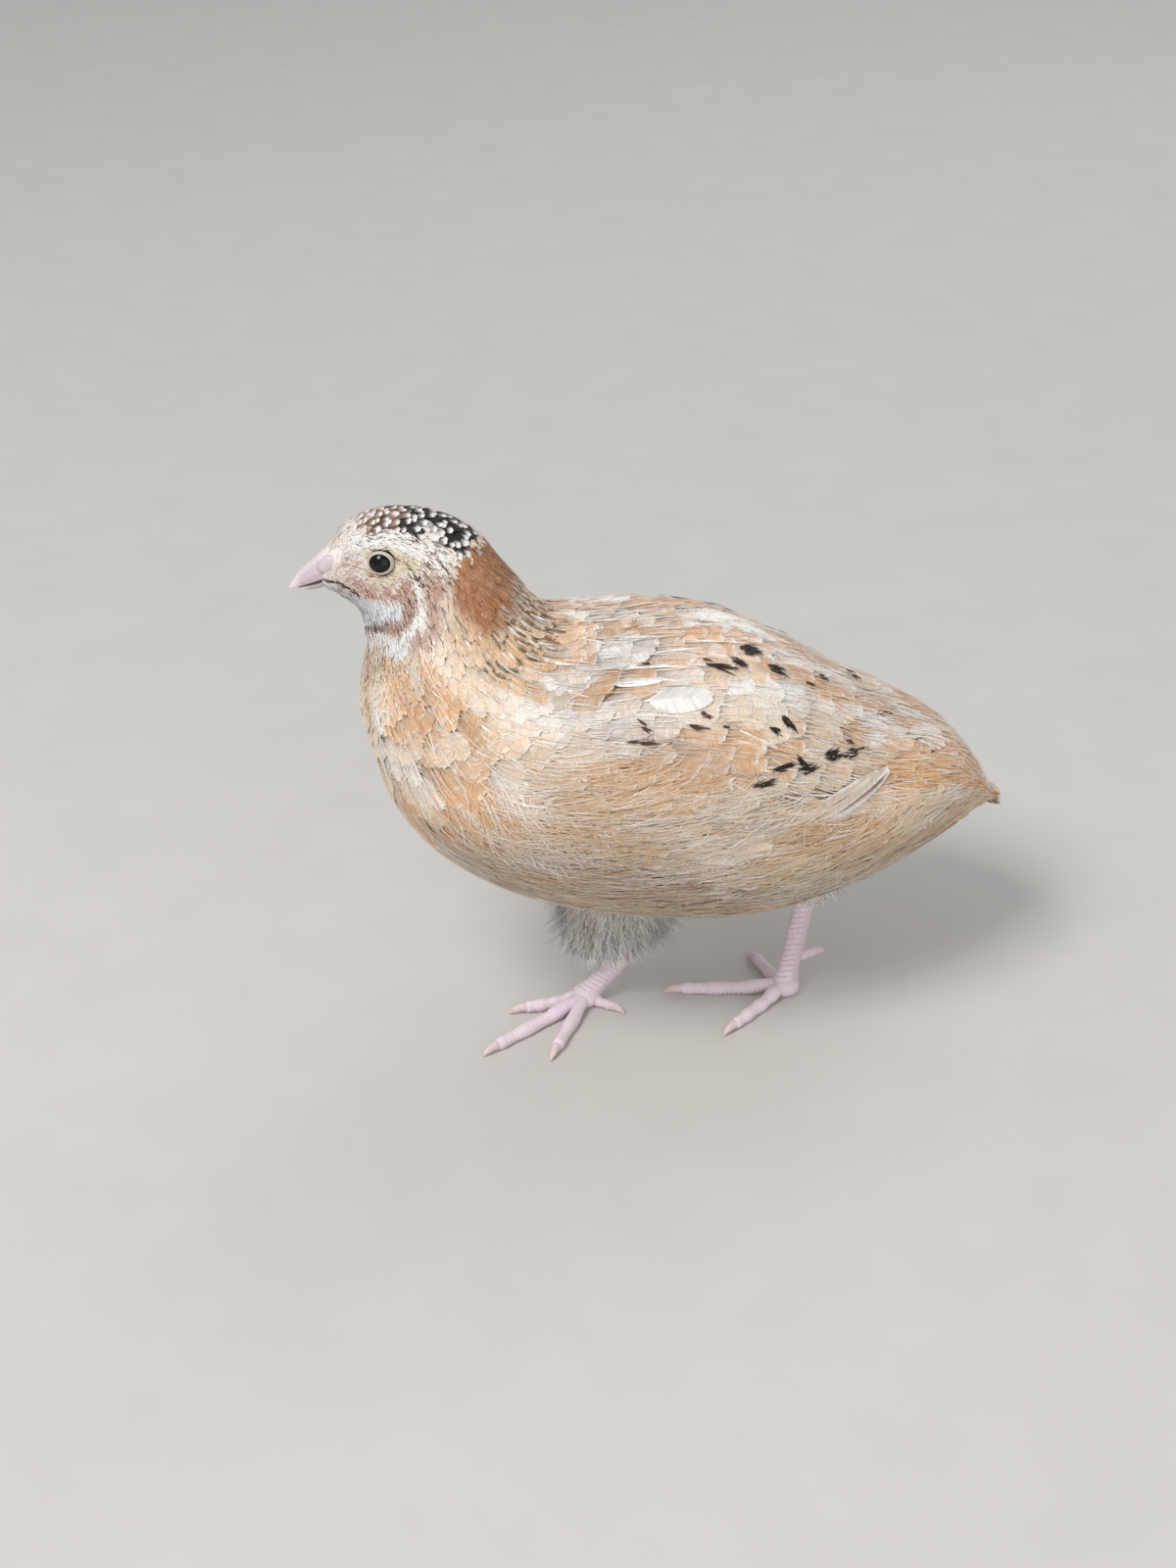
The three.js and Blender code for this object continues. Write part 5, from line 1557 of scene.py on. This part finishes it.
class QUAIL_OT_bill(Operator):
    """Both halves of the bill, with the soft flap over each nostril"""
    bl_idname = "quail.bill"
    bl_label = "Bill"

    def execute(self, context):
        colours = palette(context.scene.quail)
        flesh, tip, groove_tint = colours.bill, colours.bill_tip, colours.groove
        material = painted_material("Bill horn", 0.36, 0.05, 1500, 0.00005)
        for name, sections in (("upper", UPPER_BILL), ("lower", LOWER_BILL)):
            last = len(sections) - 1
            at, angle = np.meshgrid(np.linspace(0, last, 70), np.arange(0, 360, 6.0), indexing="ij")
            rings = raised_point(sections, at, angle, np.zeros(at.shape))
            up = np.sin(np.radians(angle))
            flaps = []
            if name == "upper":
                paint = mix(flesh, tip, smoothstep(at, 2.9, 4.4) + 0.8 * smoothstep(up, 0.6, 0.95))
                skin = mix(colours.white, colours.face, 0.4)
                paint = mix(paint, skin, 0.85 * smoothstep(at, 1.9, 1.0) * smoothstep(up, -0.1, 0.6))
                paint = mix(paint, groove_tint, 0.35 * smoothstep(np.abs(up - 0.05), 0.35, 0.1)
                            * smoothstep(at, 4.6, 3))
                # Painted shade in the crease under and behind each flap
                paint = mix(paint, groove_tint, 0.55 * flap_crease_shade(rings))
                # The left flap's rings are turned round, so that both flaps face out
                for side in SIDES.values():
                    flap, groove = (shape[:, ::-side] for shape in flap_shape(side))
                    # The flap's colour, with painted shade in the fold along its lower rim
                    shade = mix(mix(flesh, tip, 0.25), groove_tint, 0.4 * groove)
                    flaps.append((*capped_loft(flap), capped(shade)))
            else:
                paint = mix(mix(flesh, colours.grey, 0.6), tip, smoothstep(at, 2.2, 3.6))
            points, faces, paint = joined([(*capped_loft(rings), capped(paint)), *flaps])
            piece = make_mesh(f"bill_{name}_fine", to_frame(points), faces, paint)
            place(piece, "bill", material, f"bill_{name}")
        return {"FINISHED"}


class QUAIL_OT_eyes(Operator):
    """The dark, glossy eyes and the pale lids round them"""
    bl_idname = "quail.eyes"
    bl_label = "Eyes"

    def execute(self, context):
        colours = palette(context.scene.quail)
        eye = eye_material("Eye")
        lid = painted_material("Eyelid", 0.5, 0.08, 1800, 0.00006)
        for name, side in SIDES.items():
            centre = eye_centre(side)
            points, faces = capped_loft((centre + EYE_RADIUS * globe(64, 40)[0])[::-1])
            piece = make_mesh(f"eyeball_{name}", to_frame(points), faces)
            place(piece, "eye", eye, f"eye_{name}")
            points, faces, paint = lid_ring(centre, side, colours)
            piece = make_mesh(f"eyelid_{name}", to_frame(points), faces, paint)
            place(piece, "head_feathers", lid)
        return {"FINISHED"}


def lid_ring(centre, side, colours):
    """The bare rim of the lids: a flattened tube that hugs the eyeball round an oval opening, with
    small beads along it and a dark inner edge."""
    rim = raised_point(STATIONS, np.array(EYE_AT), np.array(float(side_angle(EYE_UP, side))), 0.0)
    look = (rim - centre) / np.linalg.norm(rim - centre)
    level = np.cross([0.0, 0.0, 1.0], look)
    level /= np.linalg.norm(level)
    up = np.cross(look, level)
    turn, tube = np.meshgrid(np.linspace(0, 2 * math.pi, 144, endpoint=False),
                             np.linspace(0, 2 * math.pi, 14, endpoint=False), indexing="ij")
    inner = 2.28 + 0.12 * np.abs(np.cos(turn)) ** 3
    beads = np.cos(30 * turn)
    band = 0.72 + 0.03 * beads
    radius = inner + band * (0.5 + 0.5 * np.cos(tube))
    out = (radius * np.cos(turn))[..., None] * level
    over = (0.9 * radius * np.sin(turn))[..., None] * up
    span = radius * np.hypot(np.cos(turn), 0.9 * np.sin(turn))
    seat = np.sqrt(np.maximum(EYE_RADIUS ** 2 - span ** 2, 0.3))
    depth = seat + 0.12 + (0.14 + 0.03 * beads) * np.sin(tube)
    ring = centre + out + over + depth[..., None] * look
    rows, columns = ring.shape[:2]
    faces = grid_faces(rows + 1, columns) % (rows * columns)
    shade = 0.5 + 0.5 * beads
    pale = mix(mix(colours.white, colours.yellow, 0.4), colours.grey, 0.5)
    paint = mix(pale, mix(colours.grey, colours.yellow, 0.5), 0.4 * shade)
    paint = mix(paint, colours.brown, 0.75 * smoothstep(-np.cos(tube), 0.55, 0.95))
    return ring.reshape(-1, 3), triangles(faces)[:, ::-1], paint.reshape(-1, 3)


def eye_material(name):
    """A near-black eye with a faint brown iris and a wet surface."""
    material, tree, shader = new_material(name)
    where = add_node(tree, "TexCoord").outputs["Object"]
    noise = add_node(tree, "TexNoise", {"Scale": 900, "Vector": where})
    ramp = add_node(tree, "ValToRGB", {"Fac": noise.outputs["Fac"]})
    ramp.color_ramp.elements[0].color = (0.002, 0.0015, 0.001, 1)
    ramp.color_ramp.elements[1].color = (0.008, 0.005, 0.004, 1)
    feed(tree, shader, {"Base Color": ramp.outputs["Color"], "Roughness": 0.04,
                        "Specular IOR Level": 0.34})
    return material


def plates(share, count):
    """Overlapping plates: how high each stands, and how deep in the groove between two it is, where
    the legs paint shade.
    """
    phase = np.mod(share * count, 1)
    return smoothstep(phase, 0, 0.7) - smoothstep(phase, 0.84, 1), smoothstep(phase, 0.74, 0.9)


def ball_centre(name):
    return np.array([*LEGS[name]["ball"], BALL_CENTRE], float)


def rest_on_floor(rings):
    rings[..., 2] = np.maximum(rings[..., 2], 0.0)
    return rings


def shank(name):
    """The tarsus: ovals down a straight path, with overlapping plates on its front and fine scales
    behind, and a knuckle where the toes meet."""
    top, foot = np.array(LEGS[name]["top"], float), ball_centre(name)
    share = np.linspace(-0.3, 1, 220)
    path = top + (foot - top) * share[:, None]
    spread = 0.6 * smoothstep(share, 0.75, 1)
    hock = 0.5 * smoothstep(share, 0.18, 0)
    sides = 40
    angle = np.linspace(0, 2 * math.pi, sides, endpoint=False)
    front = smoothstep(-np.sin(angle), -0.5, 0.2)
    height, groove = plates(share[:, None] + 0.02 * np.cos(2 * angle), 17)
    small, creases = plates(share[:, None] + 0.01 * np.sin(5 * angle), 34)
    shape = 1 + 0.05 * height * front + 0.025 * small * (1 - front)
    across = np.broadcast_to([1.0, 0.0, 0.0], (len(path), 3))
    rings = swept(path, 1.85 + spread + hock, 2.7 + spread + hock, across, sides, shape)
    # Painted shade in the grooves between the front plates and in the creases behind; the back is also darker
    # all over
    dark = groove * front + 0.5 * creases * (1 - front) + 0.35 * (1 - front)
    return rest_on_floor(rings), dark


def ball_of_foot(name):
    """The ball of the foot: a flattened globe, cut level with the floor."""
    ball, turn, rise = globe(60, 34)
    bumps = np.sin(15 * turn) * np.sin(13 * rise)
    ball = ball * (3.7, 3.7, 3.0) * (1 + 0.02 * bumps)[..., None]
    # The second array paints shade into the hollows between the bumps
    return rest_on_floor(ball + ball_centre(name))[::-1], 0.4 * smoothstep(-bumps, 0, 1)[::-1]


def toe_path(name, number, share):
    """A toe's path from the ball of the foot to the claw's tip, settling onto the floor."""
    tip, start = LEGS[name]["toes"][number]
    raised = start is not None
    tip = np.array(tip if raised else (*tip, TOE_CENTRE), float)
    root = np.array(start, float) if raised else ball_centre(name)
    path = root + (tip - root) * share[:, None]
    if not raised:
        path[:, 2] = root[2] + (TOE_CENTRE - root[2]) * smoothstep(share, 0.1, 0.4)
    return path, np.linalg.norm(tip - root), raised


def level_across(path):
    """A level direction square to a toe, repeated for each of its rings."""
    across = np.cross(path[-1] - path[0], [0, 0, 1])
    return np.broadcast_to(-across / np.linalg.norm(across), (len(path), 3))


def toe(name, number):
    """A toe: ovals along its path, with plates over the top, pads below and knuckles at its joints."""
    _, length, _ = toe_path(name, number, np.zeros(2))
    share = np.linspace(0, 1, 150)
    path, _, _ = toe_path(name, number, share * (1 - CLAW_LENGTH / length))
    size = 0.8 if number == 0 else 1
    joints = 2 if number == 0 else number + 1
    knuckle = 1 + 0.08 * np.cos(share * joints * 2 * math.pi)
    round_tip = np.sqrt(np.clip(1 - (np.clip(share - 0.93, 0, 1) / 0.075) ** 2, 0.05, 1))
    angle = np.linspace(0, 2 * math.pi, 30, endpoint=False)
    top = smoothstep(np.sin(angle), -0.3, 0.3)
    height, groove = plates(share[:, None] + 0.012 * np.cos(2 * angle), max(6, int(length / 1.35)))
    shape = 1 + 0.06 * height * top + 0.025 * np.sin(share * 150)[:, None] * (1 - top)
    wide = 1.8 * size * knuckle * (1 - 0.24 * share) * round_tip
    deep = 1.8 * size * knuckle * (1 - 0.12 * share) * round_tip
    # The second array paints shade into the grooves between the plates on top
    return rest_on_floor(swept(path, wide, deep, level_across(path), 30, shape)), groove * top


def claw(name, number):
    """A claw: a tapering oval that curves down from the toe's end to the floor."""
    _, length, raised = toe_path(name, number, np.zeros(2))
    share = np.linspace(0, 1, 36)
    start = 1 - (CLAW_LENGTH + 0.5) / length
    path, _, _ = toe_path(name, number, start + (1 - start) * share)
    path[:, 2] += -1.4 * share ** 2 if raised else 0.25 * np.sin(math.pi * share) - 1.15 * share ** 2
    radius = 1.3 * (1 - 0.25 * share - 0.6 * share ** 3)
    rings = rest_on_floor(swept(path, radius * 0.85, radius, level_across(path), 20))
    return rings, share[:, None] * np.ones(20)


class QUAIL_OT_legs(Operator):
    """The bare, scaly lower legs and toes, and the claws"""
    bl_idname = "quail.legs"
    bl_label = "Legs"

    def execute(self, context):
        colours = palette(context.scene.quail)
        pale, groove_tint, horn_tint = colours.leg, colours.groove, colours.claw
        skin = painted_material("Leg skin", 0.42, 0.06, 900, 0.00008)
        horn = painted_material("Claw horn", 0.35, 0.1, 1200, 0.00004)
        for name in SIDES:
            parts = []
            forms = [shank(name), ball_of_foot(name)] + [toe(name, number) for number in range(4)]
            for rings, dark in forms:
                # The skin darkens a little towards the top; each form's dark share is painted shade in its
                # grooves, creases and hollows
                skin_tint = mix(pale, mix(pale, groove_tint, 0.12), smoothstep(rings[..., 2], 4, 16))
                paint = mix(skin_tint, groove_tint, 0.62 * dark)
                parts.append((*capped_loft(rings), capped(paint)))
            points, faces, paint = joined(parts)
            piece = make_mesh(f"leg_{name}", to_frame(points), faces, paint)
            nodes = [f"tarsus_{name}"] + [f"toe_{name}_{number}" for number in range(1, 5)]
            place(piece, "leg_skin", skin, *nodes)
            for number in range(4):
                rings, share = claw(name, number)
                points, faces = capped_loft(rings)
                paint = capped(mix(mix(horn_tint, pale, 0.5), horn_tint, share))
                piece = make_mesh(f"claw_{name}_{number + 1}_fine", to_frame(points), faces, paint)
                place(piece, "claw", horn, f"claw_{name}_{number + 1}")
        return {"FINISHED"}


# The point that the camera looks at, in the millimetres of the stations
LOOK_AT = np.array([-2.7, -21.5, 65.5])


class QUAIL_OT_stage(Operator):
    """A pale floor, soft studio light and the camera"""
    bl_idname = "quail.stage"
    bl_label = "Stage"

    def execute(self, context):
        stage = context.scene.quail.stage
        half = stage.floor_size / 2
        corners = np.array([[-half, -half, 0], [half, -half, 0], [half, half, 0], [-half, half, 0]])
        floor = make_mesh("floor", corners, np.array([[0, 1, 2], [0, 2, 3]]),
                          np.broadcast_to(stage.floor_colour[:3], (4, 3)), smooth=False)
        floor.data.materials.append(painted_material("Pale floor", 0.85, 0.02, 40, 0.0001))
        look = Vector(to_frame(LOOK_AT))
        level = math.cos(stage.height)
        back = Vector((math.sin(stage.azimuth) * level, -math.cos(stage.azimuth) * level,
                       math.sin(stage.height)))
        camera = bpy.data.objects.new("camera", bpy.data.cameras.new("camera"))
        camera.data.lens = stage.lens
        camera.data.sensor_width = 36
        camera.data.clip_start = 0.01
        aim(camera, look + back * stage.distance, look)
        context.scene.collection.objects.link(camera)
        context.scene.camera = camera
        self.light("key light", (0.62, -0.85, 1.4), look, stage.key_power, 0.6, (1.0, 0.985, 0.96))
        self.light("fill light", (1.4, 0.1, 0.35), look, stage.fill_power, 1.2, (0.97, 0.985, 1.0))
        self.light("rear light", (-0.8, 0.9, 1.1), look, 0.8 * stage.fill_power, 1.0, (1.0, 1.0, 1.0))
        world = bpy.data.worlds.new("pale surroundings")
        world.use_nodes = True
        feed(world.node_tree, world.node_tree.nodes["Background"],
             {"Color": (0.96, 0.975, 1.0, 1), "Strength": stage.sky})
        context.scene.world = world
        context.scene.view_settings.view_transform = "Standard"
        return {"FINISHED"}

    def light(self, name, position, look, power, size, colour):
        lamp = bpy.data.lights.new(name, "AREA")
        lamp.energy = power
        lamp.size = size
        lamp.color = colour
        lamp_object = bpy.data.objects.new(name, lamp)
        aim(lamp_object, Vector(position), look)
        bpy.context.scene.collection.objects.link(lamp_object)


def aim(thing, position, target):
    turn = (position - target).to_track_quat("Z", "Y")
    thing.matrix_world = Matrix.Translation(position) @ turn.to_matrix().to_4x4()


class QUAIL_PT_panel(Panel):
    """Lists the quail's pieces and settings"""
    bl_idname = "QUAIL_PT_panel"
    bl_label = "Quail"
    bl_space_type = "VIEW_3D"
    bl_region_type = "UI"
    bl_category = "Quail"

    def draw(self, context):
        layout = self.layout
        settings = context.scene.quail
        for operator in PIECE_OPERATORS:
            layout.operator(operator.bl_idname)
        for group in (settings.feathers, settings.colours, settings.stage):
            for name in group.bl_rna.properties.keys():
                if name not in ("rna_type", "name"):
                    layout.prop(group, name)


PIECE_OPERATORS = (
    QUAIL_OT_skin,
    QUAIL_OT_head_feathers,
    QUAIL_OT_strokes,
    QUAIL_OT_neck_feathers,
    QUAIL_OT_body_feathers,
    QUAIL_OT_wing_feathers,
    QUAIL_OT_flank_feathers,
    QUAIL_OT_wisps,
    QUAIL_OT_markings,
    QUAIL_OT_tail_feathers,
    QUAIL_OT_down,
    QUAIL_OT_bill,
    QUAIL_OT_eyes,
    QUAIL_OT_legs,
    QUAIL_OT_stage,
)
CLASSES = (QuailColours, QuailFeathers, QuailStage, QuailSettings, *PIECE_OPERATORS, QUAIL_PT_panel)


def register():
    for cls in CLASSES:
        bpy.utils.register_class(cls)
    bpy.types.Scene.quail = PointerProperty(type=QuailSettings)


def unregister():
    del bpy.types.Scene.quail
    for cls in reversed(CLASSES):
        bpy.utils.unregister_class(cls)


def plain(box):
    return [[float(value) for value in corner] for corner in box]


def main():
    register()
    bpy.ops.quail.skin()
    bpy.ops.quail.head_feathers()
    bpy.ops.quail.strokes()
    bpy.ops.quail.neck_feathers()
    bpy.ops.quail.body_feathers()
    bpy.ops.quail.wing_feathers()
    bpy.ops.quail.flank_feathers()
    bpy.ops.quail.wisps()
    bpy.ops.quail.markings()
    bpy.ops.quail.tail_feathers()
    bpy.ops.quail.down()
    bpy.ops.quail.bill()
    bpy.ops.quail.eyes()
    bpy.ops.quail.legs()
    bpy.ops.quail.stage()


if __name__ == "__main__":
    main()
